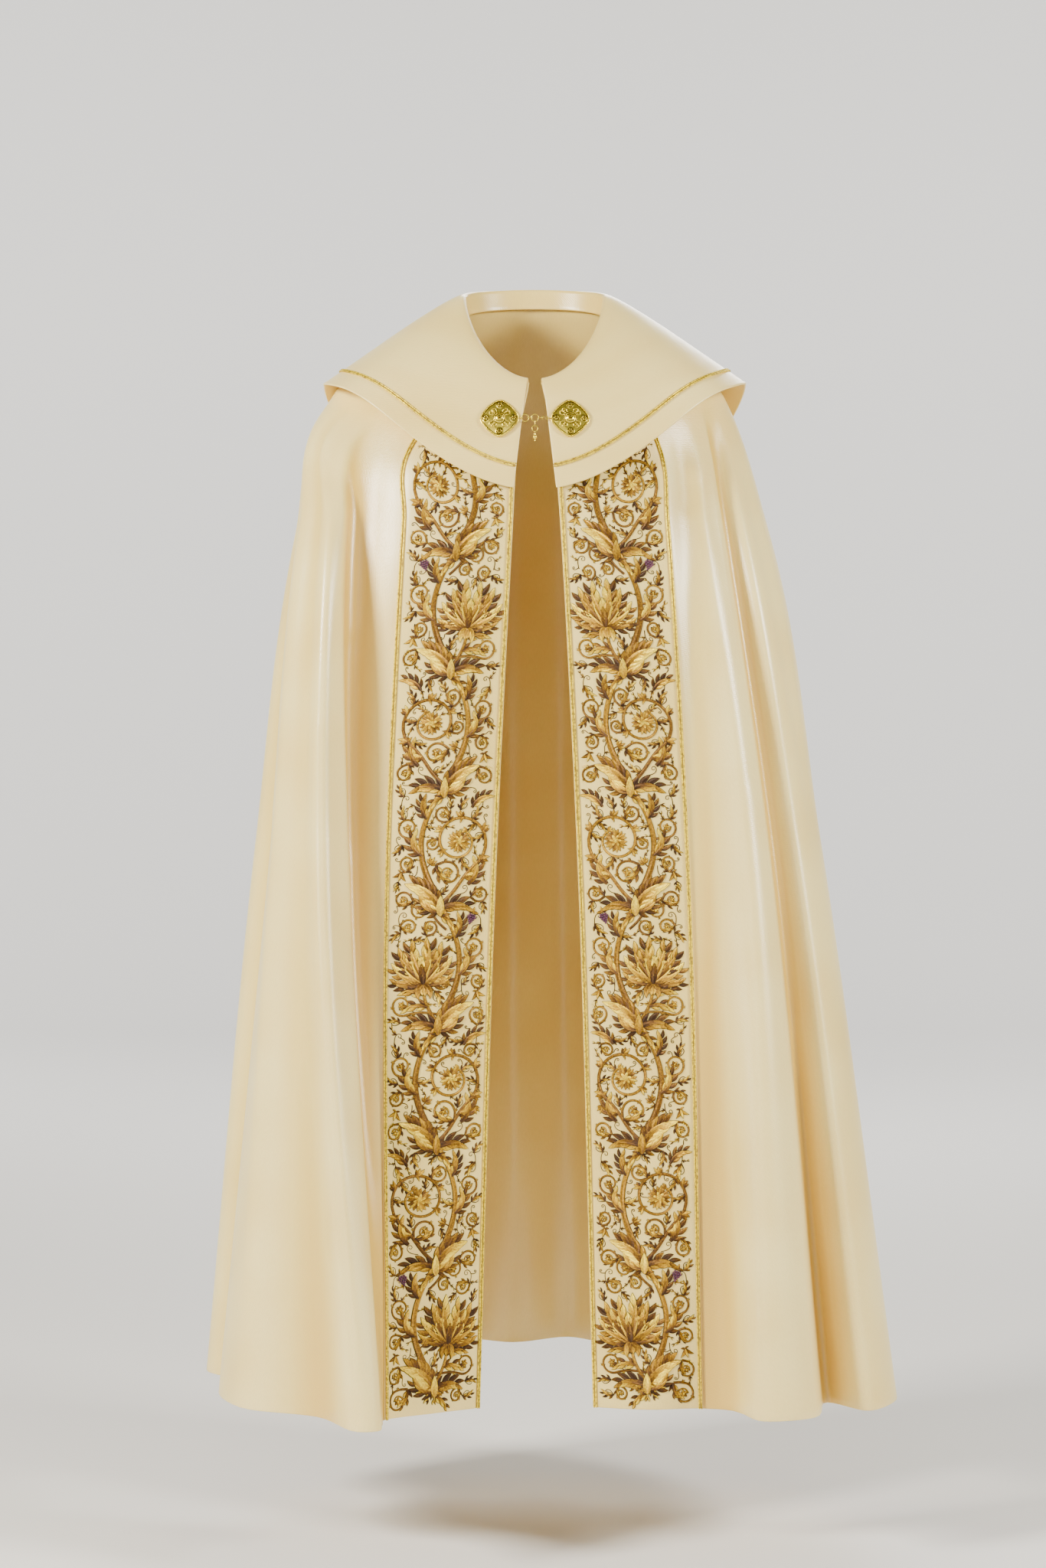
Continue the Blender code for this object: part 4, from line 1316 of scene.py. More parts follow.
@dataclass
class Rinceau:
    """A generic running scroll of acanthus, in the old tradition, worked out by rule.

    A stem waves down the band. Each of its hollows holds a scroll round a rosette, or a fan of
    leaves, and leaves, curls, husks and berries fill what is left. Nothing of it is drawn after a
    particular piece of embroidery.
    """

    top: float
    bottom: float
    half_period: float = 0.1420
    wave: float = 0.0250
    edge: float = 0.0560
    room_grid: float = 0.004
    room_reach: float = 0.03
    seed: int = 7
    forms: list[Form] = field(default_factory=list)
    dots: list[tuple[complex, float]] = field(default_factory=list)
    berries: list[tuple[complex, float]] = field(default_factory=list)

    def __post_init__(self) -> None:
        """Draw the whole design."""
        self.chance = np.random.default_rng(self.seed)
        for k in range(self.cells):
            self.add_stem(k)
            self.add_cell(k)
        self.add_ends()
        for least, most in ((SCROLL_ROOM, 0.0200), (LEAF_ROOM, 0.0120), (LEAST_ROOM, 0.0075)):
            self.fill_room(least, most)

    @property
    def cells(self) -> int:
        """Return how many hollows the stem has."""
        return int(round((self.bottom - self.top) / self.half_period))

    def vary(self, value: float, share: float = 0.08) -> float:
        """Return a value changed by up to a share of itself."""
        return value * (1.0 + share * float(self.chance.uniform(-1.0, 1.0)))

    def add_petal(
        self, start: complex, heading: float, length: float, width: float, bend: float,
        tone: float, layer: int, point: float = 0.70,
    ) -> None:
        """Add one pointed lobe, darker at its root than at its tip.

        Args:
            start: Its root.
            heading: Its first direction.
            length: Its length.
            width: Half its width.
            bend: How far it turns.
            tone: How light it is, from 0 to 1.
            layer: How high it lies.
            point: Below 1 it is widest near its root, and near 1 in its middle.
        """
        line = curl_line(start, heading, length, bend, 1.0, 4 if length < 0.013 else 6)
        shares = np.linspace(0.0, 1.0, len(line))
        swell = np.sin(math.pi * shares**point) ** 0.85
        half = width * np.maximum(swell, 0.30 * (1.0 - shares)) + 0.0001
        tone = float(np.clip(tone + 0.16 * float(self.chance.uniform(-1.0, 1.0)), 0.0, 1.0))
        self.forms.append(Form(line, half, (tone - 0.26, tone + 0.12), layer))

    def add_cord(
        self, line: np.ndarray, thick: float, thin: float, tone: float, layer: int
    ) -> None:
        """Add a round cord that thins towards its end."""
        half = np.linspace(thick, thin, len(line))
        self.forms.append(Form(line, half, (tone, tone), layer, Stitch.CORD))

    def add_ribbon(self, line: np.ndarray, thick: float, thin: float, layer: int = 1) -> None:
        """Add a flat stem with dark rims that thins towards its end."""
        half = np.linspace(thick, thin, len(line))
        self.forms.append(Form(line, half, (0.34, 0.62), layer))

    def add_leaf(
        self, start: complex, heading: float, length: float, bend: float, tone: float = 0.6,
        lobes: int = 4, layer: int = 1, broad: float = 1.0,
    ) -> None:
        """Add an acanthus leaf.

        Args:
            start: Its root.
            heading: Its first direction.
            length: The length of its rib.
            bend: How far its rib turns.
            tone: How light it is, from 0 to 1.
            lobes: How many lobes each side has.
            layer: How high it lies.
            broad: How wide its lobes reach, against the usual.
        """
        rib = curl_line(start, heading, length * 0.92, bend, 1.25, 8 if length < 0.022 else 14)
        for k in range(lobes):
            share = 0.10 + 0.70 * k / max(lobes - 1, 1)
            root, way = line_point(rib, share), line_heading(rib, share)
            for hand in (-1, 1):
                reach = length * (0.24 + 0.22 * math.sin(math.pi * (0.22 + 0.66 * share))) * broad
                # painted light and shade: lobes on one side of the rib are painted lighter as lit, those
                # on the other side darker as shaded
                lit = tone + (0.28 if hand * bend >= 0 else -0.24)
                self.add_petal(root, way + hand * (0.92 - 0.42 * share), self.vary(reach), reach * 0.20,
                               -hand * 0.55, lit, layer + (k % 2), 0.85)
        shares = np.linspace(0.0, 1.0, len(rib))
        body = length * 0.095 * broad * np.sin(math.pi * (0.12 + 0.88 * shares) ** 0.8) ** 0.9 + 0.0001
        self.forms.append(Form(rib, body, (tone - 0.45, tone + 0.30), layer + 2))
        self.add_cord(rib[:-len(rib) // 4], 0.0010, 0.0005, 0.10, layer + 3)

    def add_rosette(self, middle: complex, radius: float, tone: float = 0.65, petals: int = 6) -> None:
        """Add an open flower seen from the front."""
        turn = float(self.chance.uniform(0.0, 1.0))
        if radius < 0.0075:
            for k in range(5):
                self.add_petal(middle, turn + math.tau * k / 5, radius, radius * 0.34, 0.5, tone, 3, 0.9)
            self.dots.append((middle, radius * 0.22))
            return
        for k in range(petals):
            way = turn + math.tau * k / petals
            root = middle + 0.1 * radius * np.exp(1j * way)
            for hand in (-1, 1):
                self.add_petal(root, way + hand * 0.22, radius * 0.94, radius * 0.20, hand * 0.35,
                               tone - 0.12, 2, 0.9)
            self.add_petal(root, way, radius * 0.98, radius * 0.17, 0.0, tone + 0.08, 3, 0.9)
        for k in range(petals):
            way = turn + math.tau * (k + 0.5) / petals
            self.add_petal(middle, way, radius * 0.60, radius * 0.19, 0.3, tone + 0.22, 4, 0.9)
        for k in range(petals):
            way = turn + math.tau * k / petals
            self.dots.append((middle + 0.15 * radius * np.exp(1j * way), radius * 0.07))
        self.dots.append((middle, radius * 0.10))

    def add_fan(self, root: complex, heading: float, size: float, tone: float = 0.6) -> None:
        """Add a large flower seen from its side: a fan of ragged leaves over a bud."""
        for turn in (-1.72, 1.72, -1.20, 1.20, -0.72, 0.72, -0.30, 0.30):
            reach = size * (0.76 + 0.24 * math.cos(turn))
            self.add_leaf(root, heading + turn, self.vary(reach, 0.06), -0.40 * turn,
                          tone + 0.14 * math.cos(5.0 * turn), 4, 1, 0.80)
        for turn in (-0.95, 0.95, -0.5, 0.5, 0.0):
            self.add_leaf(root, heading + turn, self.vary(size * 0.60, 0.06), -0.5 * turn,
                          tone + 0.22, 2, 4, 0.62)
        self.add_petal(root, heading, size * 0.46, size * 0.085, 0.0, 0.30, 8)
        for k in range(5):
            way = np.exp(1j * heading)
            self.dots.append((root + way * size * (0.12 + 0.065 * k), 0.0009))
        for hand in (-1, 1):
            self.add_petal(root, heading + hand * 2.1, size * 0.36, size * 0.080, hand * 1.4,
                           tone + 0.1, 6)
            self.add_petal(root, heading + hand * 2.7, size * 0.26, size * 0.065, hand * 0.8, tone, 6)

    def add_sprig(self, root: complex, heading: float, size: float, tone: float = 0.65) -> None:
        """Add a short stalk with five small lobes at its end."""
        stalk = curl_line(root, heading, size * 0.55, 0.3, 1.0, 5)
        self.add_cord(stalk, 0.0011, 0.0009, 0.30, 1)
        end, way = complex(stalk[-1]), heading + 0.3
        for turn in (-1.5, 1.5, -0.75, 0.75, 0.0):
            self.add_petal(end, way + turn, size * (0.42 + 0.16 * math.cos(turn)), size * 0.12,
                           -0.5 * turn, tone, 2 + (turn == 0.0))

    def add_husk(self, root: complex, heading: float, size: float) -> None:
        """Add a bell husk that sheds its seeds."""
        for hand in (-1, 1):
            self.add_petal(root, heading + hand * 0.40, size, size * 0.18, hand * 0.8, 0.62, 3)
            self.add_petal(root, heading + hand * 2.2, size * 0.45, size * 0.12, -hand * 0.6, 0.5, 2)
        self.add_petal(root, heading, size * 0.9, size * 0.17, 0.0, 0.9, 4)
        for row in range(4):
            count = row + 1 if row < 3 else 2
            for k in range(count):
                way = np.exp(1j * (heading + (k - (count - 1) / 2.0) * 0.20))
                self.dots.append((root + way * size * (1.15 + 0.18 * row), 0.0007))

    def add_berries(self, root: complex, heading: float, rows: Sequence[int] = (3, 4, 3, 2, 1)) -> None:
        """Add a bunch of dark berries under a small leaf."""
        way = np.exp(1j * heading)
        for turn in (-1.2, 1.2, 0.0):
            self.add_petal(root, heading + math.pi + turn, 0.0075, 0.0020, 0.4 * turn, 0.6, 3)
        for row, count in enumerate(rows):
            for k in range(count):
                place = root + way * 0.0026 * (row + 1) + 1j * way * 0.0030 * (k - (count - 1) / 2)
                self.berries.append((place, 0.00150))

    def add_curl(self, start: complex, heading: float, length: float, bend: float) -> None:
        """Add a thin tendril that ends in a curl."""
        line = curl_line(start, heading, length, bend, 2.6, 18)
        self.add_cord(line, 0.00070, 0.00055, 0.05, 0)

    def add_scroll(
        self, start: complex, heading: float, middle: complex, radius: float, hand: int,
        turns: float = 1.30, leaves: int = 6, flower: float | None = None,
    ) -> None:
        """Add a scroll with leaves on both its sides and a rosette at its heart.

        Args:
            start: Where it leaves its stem.
            heading: Its first direction.
            middle: Its heart.
            radius: Its reach.
            hand: 1 where it winds from down towards across, else -1.
            turns: How often it winds.
            leaves: How many leaves grow on its outside.
            flower: The rosette's radius, or its usual one.
        """
        away = start - middle
        first = float(np.angle(away)) + hand * 0.85
        spiral = spiral_line(middle, radius, radius * 0.40, first, hand * turns * math.tau)
        line = joined_line(start, heading, spiral)
        thick = 0.0013 + 0.034 * radius
        self.add_ribbon(line, thick, thick * 0.62, 2)
        for k in range(leaves):
            share = 0.20 + 0.48 * k / max(leaves - 1, 1)
            root, way = line_point(line, share), line_heading(line, share)
            size = radius * (0.42 - 0.022 * k)
            for step in range(3 if radius > 0.015 else 2):
                self.add_petal(root, way - hand * (0.35 + 0.45 * step), size * (1.0 - 0.18 * step),
                               size * 0.19, -hand * 0.7, 0.80 - 0.20 * step, 3, 0.85)
            if k % 2:
                self.add_petal(root, way + hand * 0.7, size * 0.62, size * 0.13, hand * 0.9, 0.6, 3)
        for step in range(3):
            way = line_heading(line, 0.97)
            self.add_petal(complex(line[-1]), way + hand * (0.5 - 0.5 * step), radius * 0.22,
                           radius * 0.055, hand * 0.8, 0.7, 3)
        self.add_rosette(middle, flower or radius * 0.40)

    def stem_place(self, down: np.ndarray | float) -> Any:
        """Return where the stem lies at a place down the band."""
        turn = math.pi * (down - self.top - self.half_period / 2) / self.half_period
        return -self.wave * np.cos(turn) + 1j * down

    def add_stem(self, k: int) -> None:
        """Add one run of the waving stem, which tapers upwards to the next branching."""
        start = self.top + k * self.half_period
        down = np.linspace(start + self.half_period * 1.02, start - 0.001, 34)
        self.add_ribbon(self.stem_place(down), 0.0044, 0.0026, 2)

    def add_cell(self, k: int) -> None:
        """Fill one hollow of the stem and the crest across from it."""
        side = 1 if k % 2 == 0 else -1
        middle = self.top + (k + 0.5) * self.half_period
        root = complex(self.stem_place(middle + self.half_period / 2))
        up = -math.pi / 2
        if k % 3 == 1:
            self.add_fan_hollow(root, middle, side)
        else:
            heart = complex(side * self.vary(0.0190, 0.08), middle - 0.004)
            self.add_scroll(root, up + side * 0.95, heart, 0.0350, -side)
            above, below = complex(side * 0.014, -0.040), complex(side * 0.012, 0.052)
            self.add_leaf(heart + below, up + side * 0.85, 0.036, -side * 1.2, 0.6)
            self.add_leaf(heart + above, up + side * 0.5, 0.030, side * 1.0, 0.5)
        self.add_sheath(root, side)
        self.add_crest(middle, side)
        self.add_fillers(middle, side, k)

    def add_fan_hollow(self, root: complex, middle: float, side: int) -> None:
        """Fill a hollow with a fan on a short stem, between small scrolls."""
        up = -math.pi / 2
        stalk = curl_line(root, up + side * 0.75, 0.050, -side * 0.75, 1.0, 14)
        self.add_ribbon(stalk, 0.0026, 0.0019)
        self.add_fan(complex(stalk[-1]), up + side * 0.10, 0.057)
        for share, tone in ((0.45, 0.7), (0.75, 0.5)):
            root_here, way = line_point(stalk, share), line_heading(stalk, share)
            self.add_leaf(root_here, way + side * 0.9, 0.030, side * 0.8, tone, 3, 3)
        self.add_scroll(root - 0.010j, up + side * 1.4, complex(side * 0.042, middle + 0.050), 0.0130,
                        -side, 1.1, 3)
        self.add_scroll(complex(-side * 0.008, middle - 0.040), up + side * 0.9,
                        complex(side * 0.024, middle - 0.062), 0.0125, side, 1.1, 3)

    def add_sheath(self, root: complex, side: int) -> None:
        """Add the leaves that wrap the stem where a branch leaves it."""
        up = -math.pi / 2
        rows = (
            # down, turn, length, bend, tone, lobes, layer
            (0.004, -0.60, 0.048, -0.6, 0.70, 5, 3),
            (0.006, 1.10, 0.040, 0.9, 0.45, 4, 3),
            (0.010, -1.55, 0.034, 1.2, 0.55, 4, 4),
            (0.014, 1.90, 0.026, 0.8, 0.65, 3, 4),
        )
        for down, turn, length, bend, tone, lobes, layer in rows:
            self.add_leaf(root + 1j * down, up + side * turn, length, side * bend, tone, lobes, layer)
        self.add_petal(root + 0.015j, up, 0.026, 0.0054, 0.0, 0.85, 8)

    def add_crest(self, middle: float, side: int) -> None:
        """Add the leaves, small scroll and husk between the stem's crest and the band's edge."""
        up = -math.pi / 2
        rows = (
            # down, turn, length, bend, tone
            (0.014, -1.0, 0.034, 1.4, 0.62),
            (-0.030, -0.6, 0.030, 0.9, 0.45),
        )
        for down, turn, length, bend, tone in rows:
            place = complex(self.stem_place(middle + down))
            self.add_leaf(place, up + side * turn, length, side * bend, tone, 4, 3)
        branch = complex(self.stem_place(middle - 0.004))
        self.add_scroll(branch, up - side * 0.9, complex(-side * 0.041, middle - 0.020), 0.0125,
                        side, 1.2, 3)
        self.add_sprig(complex(self.stem_place(middle + 0.030)), up + side * 0.9, 0.017)
        self.add_husk(complex(-side * 0.047, middle + 0.034), math.pi / 2 + side * 0.3, 0.0125)

    def add_fillers(self, middle: float, side: int, k: int) -> None:
        """Add the tendrils and berries of a hollow."""
        up = -math.pi / 2
        self.add_curl(complex(side * 0.047, middle - 0.044), up + side * 0.2, 0.034, -side * 8.0)
        self.add_curl(complex(-side * 0.028, middle + 0.026), math.pi / 2, 0.030, side * 8.0)
        self.add_curl(complex(side * 0.020, middle + 0.060), up + side * 1.4, 0.030, -side * 7.5)
        self.add_curl(complex(-side * 0.050, middle - 0.046), up, 0.026, side * 7.0)
        if k % 3 == 1:
            self.add_berries(complex(-side * 0.040, middle - 0.060), math.pi / 2 - side * 0.3)
        elif k % 3 == 2:
            self.add_sprig(complex(side * 0.046, middle + 0.022), math.pi / 2, 0.016)

    def room_at(self, places: np.ndarray) -> tuple[np.ndarray, np.ndarray]:
        """Return how far each place lies from the nearest form, and where that form is."""
        points = np.concatenate([form.line for form in self.forms])
        points = points[np.argsort(points.imag)]
        room, nearest = np.empty(len(places)), np.empty(len(places), complex)
        for k, place in enumerate(places):
            reach = (place.imag - self.room_reach, place.imag + self.room_reach)
            first, last = np.searchsorted(points.imag, reach)
            if last == first:
                room[k], nearest[k] = 0.0, place
                continue
            away = np.abs(points[first:last] - place)
            room[k], nearest[k] = away.min(), points[first + int(away.argmin())]
        return np.minimum(room, self.edge + 0.004 - np.abs(places.real)), nearest

    def fill_room(self, least: float, most: float) -> None:
        """Grow small scrolls, leaves and tendrils into the ground that is still bare.

        Args:
            least: The smallest bare radius that gets a filling.
            most: The largest bare radius that a filling is made for.
        """
        across = np.arange(-self.edge, self.edge + 0.001, self.room_grid)
        down = np.arange(self.top - 0.004, self.bottom - 0.006, self.room_grid)
        places = (across[None, :] + 1j * down[:, None]).ravel()
        room, nearest = self.room_at(places)
        chosen: list[tuple[complex, float]] = []
        for k in np.argsort(-room, kind="stable"):
            size = min(float(room[k]), most)
            if size < least:
                break
            place = complex(places[k])
            if any(abs(place - other) < size + near for other, near in chosen):
                continue
            chosen.append((place, size))
            self.add_filling(place, size, complex(nearest[k]))

    def add_filling(self, place: complex, size: float, root: complex) -> None:
        """Add what fits a bare spot, grown from the nearest form.

        Args:
            place: The spot's middle.
            size: Its bare radius.
            root: The point that the filling grows from.
        """
        heading = float(np.angle(place - root))
        hand = 1 if self.chance.uniform() < 0.5 else -1
        if size > SCROLL_ROOM:
            self.add_scroll(root, heading + hand * 0.9, place, size * 0.80, -hand, 1.15, 3, size * 0.34)
            self.add_leaf(root, heading - hand * 0.8, size * 1.5, hand * 1.1, 0.55, 3, 1)
        elif size > LEAF_ROOM:
            tone = self.vary(0.55, 0.3)
            self.add_leaf(root, heading + hand * 0.35, size * 2.0, -hand * 0.9, tone, 3, 1, 1.1)
            self.add_curl(root, heading - hand * 0.8, size * 2.6, hand * 7.0)
        elif self.chance.uniform() < 0.62:
            tone = self.vary(0.60, 0.3)
            self.add_leaf(root, heading + hand * 0.2, size * 1.9, -hand * 0.8, tone, 2, 1, 1.2)
        else:
            self.add_curl(root, heading + hand * 0.5, size * 3.2, -hand * 7.5)

    def add_ends(self) -> None:
        """Close the design with leaves at the stem's top and foot."""
        foot = complex(self.stem_place(self.top + self.cells * self.half_period))
        for turn in (-1.0, 1.0, -0.4, 0.4, 0.0):
            self.add_leaf(foot, math.pi / 2 + turn, 0.024, 0.3 * turn, 0.6, 3, 3, 0.8)


def evaluated_mesh(name: str, source: Mesh, tree: NodeTree, inputs: dict[str, Any]) -> Mesh:
    """Run a node tree on a mesh and return the result as a plain mesh.

    Args:
        name: The new mesh's name.
        source: The mesh that the tree starts from.
        tree: The geometry node tree.
        inputs: Values by the names of the tree's inputs.

    Returns:
        The plain mesh.
    """
    holder = bpy.data.objects.new(name, source)
    bpy.context.scene.collection.objects.link(holder)
    nodes = holder.modifiers.new("nodes", "NODES")
    nodes.node_group = tree
    sockets = {s.name: s.identifier for s in tree.interface.items_tree if s.in_out == "INPUT"}
    for key, value in inputs.items():
        nodes[sockets[key]] = value
    depsgraph = bpy.context.evaluated_depsgraph_get()
    made = bpy.data.meshes.new_from_object(holder.evaluated_get(depsgraph), depsgraph=depsgraph)
    made.name = name
    bpy.data.objects.remove(holder)
    return made


def new_tree(name: str, inputs: Sequence[tuple[str, str]]) -> tuple[NodeTree, Node]:
    """Make a geometry node tree with named inputs.

    Args:
        name: The tree's name.
        inputs: Each input's name and socket type.

    Returns:
        The tree and its input node.
    """
    tree = bpy.data.node_groups.new(name, "GeometryNodeTree")
    tree.interface.new_socket("Geometry", in_out="INPUT", socket_type="NodeSocketGeometry")
    for label, kind in inputs:
        tree.interface.new_socket(label, in_out="INPUT", socket_type=kind)
    tree.interface.new_socket("Geometry", in_out="OUTPUT", socket_type="NodeSocketGeometry")
    return tree, tree.nodes.new("NodeGroupInput")


def end_tree(tree: NodeTree, geometry: NodeSocket, material: NodeSocket) -> None:
    """Realize a tree's instances, give them their material and shade them smooth."""
    real = add_node(tree, "GeometryNodeRealizeInstances", inputs={0: geometry})
    smooth = add_node(tree, "GeometryNodeSetShadeSmooth", inputs={0: real.outputs[0]})
    dressed = add_node(
        tree, "GeometryNodeSetMaterial", inputs={0: smooth.outputs[0], "Material": material}
    )
    add_node(tree, "NodeGroupOutput", inputs={0: dressed.outputs[0]})


def twisted_cord_tree() -> NodeTree:
    """Return the tree that lays a two-ply twisted cord along a line.

    The line's points hold the way out from the cloth in their "out" attribute. Each turn of the
    twist is a slanted bead over a round core.

    Returns:
        The tree, with inputs Pitch, Radius, Slant and Material.
    """
    tree, given = new_tree("twisted cord", (
        ("Pitch", "NodeSocketFloat"), ("Radius", "NodeSocketFloat"),
        ("Slant", "NodeSocketFloat"), ("Material", "NodeSocketMaterial"),
    ))
    source, pitch, radius, slant, material = given.outputs[:5]
    line = add_node(tree, "GeometryNodeMeshToCurve", inputs={0: source}).outputs[0]
    even = add_node(
        tree, "GeometryNodeResampleCurve", {"mode": "LENGTH"}, {"Curve": line, "Length": pitch}
    ).outputs[0]
    core_radius = add_maths(tree, "MULTIPLY", radius, 0.80)
    profile = add_node(
        tree, "GeometryNodeCurvePrimitiveCircle", inputs={"Resolution": 6, "Radius": core_radius}
    ).outputs[0]
    core = add_node(
        tree, "GeometryNodeCurveToMesh", inputs={0: even, 1: profile, "Fill Caps": True}
    ).outputs[0]

    out = add_node(
        tree, "GeometryNodeInputNamedAttribute", {"data_type": "FLOAT_VECTOR"}, {"Name": "out"}
    ).outputs[0]
    points = add_node(tree, "GeometryNodeCurveToPoints", {"mode": "EVALUATED"}, {0: even})
    facing = add_node(
        tree, "FunctionNodeAlignRotationToVector", {"axis": "Z"}, {"Vector": out}
    ).outputs[0]
    turned = add_node(
        tree, "FunctionNodeAlignRotationToVector", {"axis": "X", "pivot_axis": "Z"},
        {"Rotation": facing, "Vector": points.outputs["Tangent"]},
    ).outputs[0]
    ball = add_node(
        tree, "GeometryNodeMeshIcoSphere", inputs={"Radius": 1.0, "Subdivisions": 1}
    ).outputs[0]
    long = add_maths(tree, "MULTIPLY", radius, 1.28)
    wide = add_maths(tree, "MULTIPLY", pitch, 0.46)
    size = add_node(tree, "ShaderNodeCombineXYZ", inputs={0: long, 1: wide, 2: radius}).outputs[0]
    angle = add_node(tree, "ShaderNodeCombineXYZ", inputs={2: slant}).outputs[0]
    bead = add_node(
        tree, "GeometryNodeTransform", inputs={0: ball, "Scale": size, "Rotation": angle}
    ).outputs[0]
    beads = add_node(
        tree, "GeometryNodeInstanceOnPoints",
        inputs={"Points": points.outputs[0], "Instance": bead, "Rotation": turned},
    ).outputs[0]
    joined = add_node(tree, "GeometryNodeJoinGeometry")
    tree.links.new(core, joined.inputs[0])
    tree.links.new(beads, joined.inputs[0])
    end_tree(tree, joined.outputs[0], material)
    return tree


def bead_tree() -> NodeTree:
    """Return the tree that puts a bead on each point, as wide as its "size" attribute.

    Returns:
        The tree, with inputs Detail and Material.
    """
    tree, given = new_tree("beads", (("Detail", "NodeSocketInt"), ("Material", "NodeSocketMaterial")))
    source, detail, material = given.outputs[:3]
    size = add_node(
        tree, "GeometryNodeInputNamedAttribute", {"data_type": "FLOAT"}, {"Name": "size"}
    ).outputs[0]
    ball = add_node(
        tree, "GeometryNodeMeshIcoSphere", inputs={"Radius": 1.0, "Subdivisions": detail}
    ).outputs[0]
    beads = add_node(
        tree, "GeometryNodeInstanceOnPoints",
        inputs={"Points": source, "Instance": ball, "Scale": size},
    ).outputs[0]
    end_tree(tree, beads, material)
    return tree


def line_mesh(lines: Sequence[np.ndarray], outs: Sequence[np.ndarray]) -> Mesh:
    """Make a mesh of open lines whose points hold the way out in their "out" attribute."""
    edges, start = [], 0
    for line in lines:
        edges.extend((start + k, start + k + 1) for k in range(len(line) - 1))
        start += len(line)
    mesh = bpy.data.meshes.new("lines")
    mesh.from_pydata(np.concatenate(lines).tolist(), edges, [])
    set_attribute(mesh, "out", np.concatenate(outs))
    return mesh


def point_mesh(points: np.ndarray, sizes: np.ndarray) -> Mesh:
    """Make a mesh of bare points that hold a bead's radius in their "size" attribute."""
    mesh = bpy.data.meshes.new("points")
    mesh.from_pydata(np.asarray(points, float).tolist(), [], [])
    set_attribute(mesh, "size", np.asarray(sizes, float))
    return mesh


@dataclass
class Braids:
    """The twisted double braids on the orphreys' edges and above the collar's edge."""

    gilt: Material
    tree: NodeTree = field(default_factory=twisted_cord_tree)
    cord_radius: float = 0.00125
    pitch: float = 0.0022  # twice the real lay, so that it shows
    slant: float = math.radians(42.0)
    braid_width: float = 0.0055
    cord_places: tuple[float, float] = (0.25, 0.75)
    samples: int = 400
    probe: float = 0.01

    def lay(self, name: str, lines: list[np.ndarray], outs: list[np.ndarray], node: str) -> None:
        """Lay cords along lines as the piece that stands for a packed braid.

        Args:
            name: The piece's name.
            lines: The cords' middle lines.
            outs: The way out from the cloth at each point.
            node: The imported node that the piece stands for.
        """
        inputs = {"Pitch": self.pitch, "Radius": self.cord_radius, "Slant": self.slant,
                  "Material": self.gilt}
        mesh = evaluated_mesh(name, line_mesh(lines, outs), self.tree, inputs)
        piece = link_piece(name, mesh, self.gilt)
        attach(piece, VESTMENT)
        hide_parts(node)
        log.info("%s: %d triangles", name, sum(len(p.vertices) - 2 for p in mesh.polygons))

    def lay_orphrey_braids(self, side: Side, band: BandMap) -> None:
        """Lay the two braids of one orphrey."""
        down = np.linspace(0.0, band.length, self.samples)
        half = band.half_width(down)
        for edge, sign in (("front", -side.value), ("outer", side.value)):
            lines, outs = [], []
            for cord in self.cord_places:
                flat = sign * (half - self.braid_width * cord) + 1j * down
                lift = np.full(self.samples, self.cord_radius)
                lines.append(band.place(flat, lift))
                outs.append((band.place(flat, lift + self.probe) - lines[-1]) / self.probe)
            self.lay(f"braid_{side.word}_{edge}_cords", lines, outs, f"braid_{side.word}_{edge}")

    def lay_collar_braid(self, collar: Collar) -> None:
        """Lay the braid above the collar's edge."""
        lines, above = ([collar.braid_route(cord, lift) for cord in self.cord_places]
                        for lift in (self.cord_radius, self.cord_radius + self.probe))
        outs = [(high - low) / self.probe for high, low in zip(above, lines)]
        self.lay("collar_braid_cords", lines, outs, "collar_braid")


def tube_faces(
    rings: int, sides: int, closed: bool = False, start: int = 0, outward: bool = True
) -> list[tuple[int, ...]]:
    """Return the quads between rings of points that wrap round and are numbered ring by ring.

    Args:
        rings: How many rings there are.
        sides: How many points each ring has.
        closed: Whether the last ring meets the first.
        start: The first point's number.
        outward: Whether the quads face out where the rings turn to the left.

    Returns:
        The quads.
    """
    faces: list[tuple[int, ...]] = []
    for ring in range(rings if closed else rings - 1):
        a, b = start + ring * sides, start + (ring + 1) % rings * sides
        for s in range(sides):
            t = (s + 1) % sides
            faces.append((a + s, a + t, b + t, b + s) if outward else (a + s, b + s, b + t, a + t))
    return faces


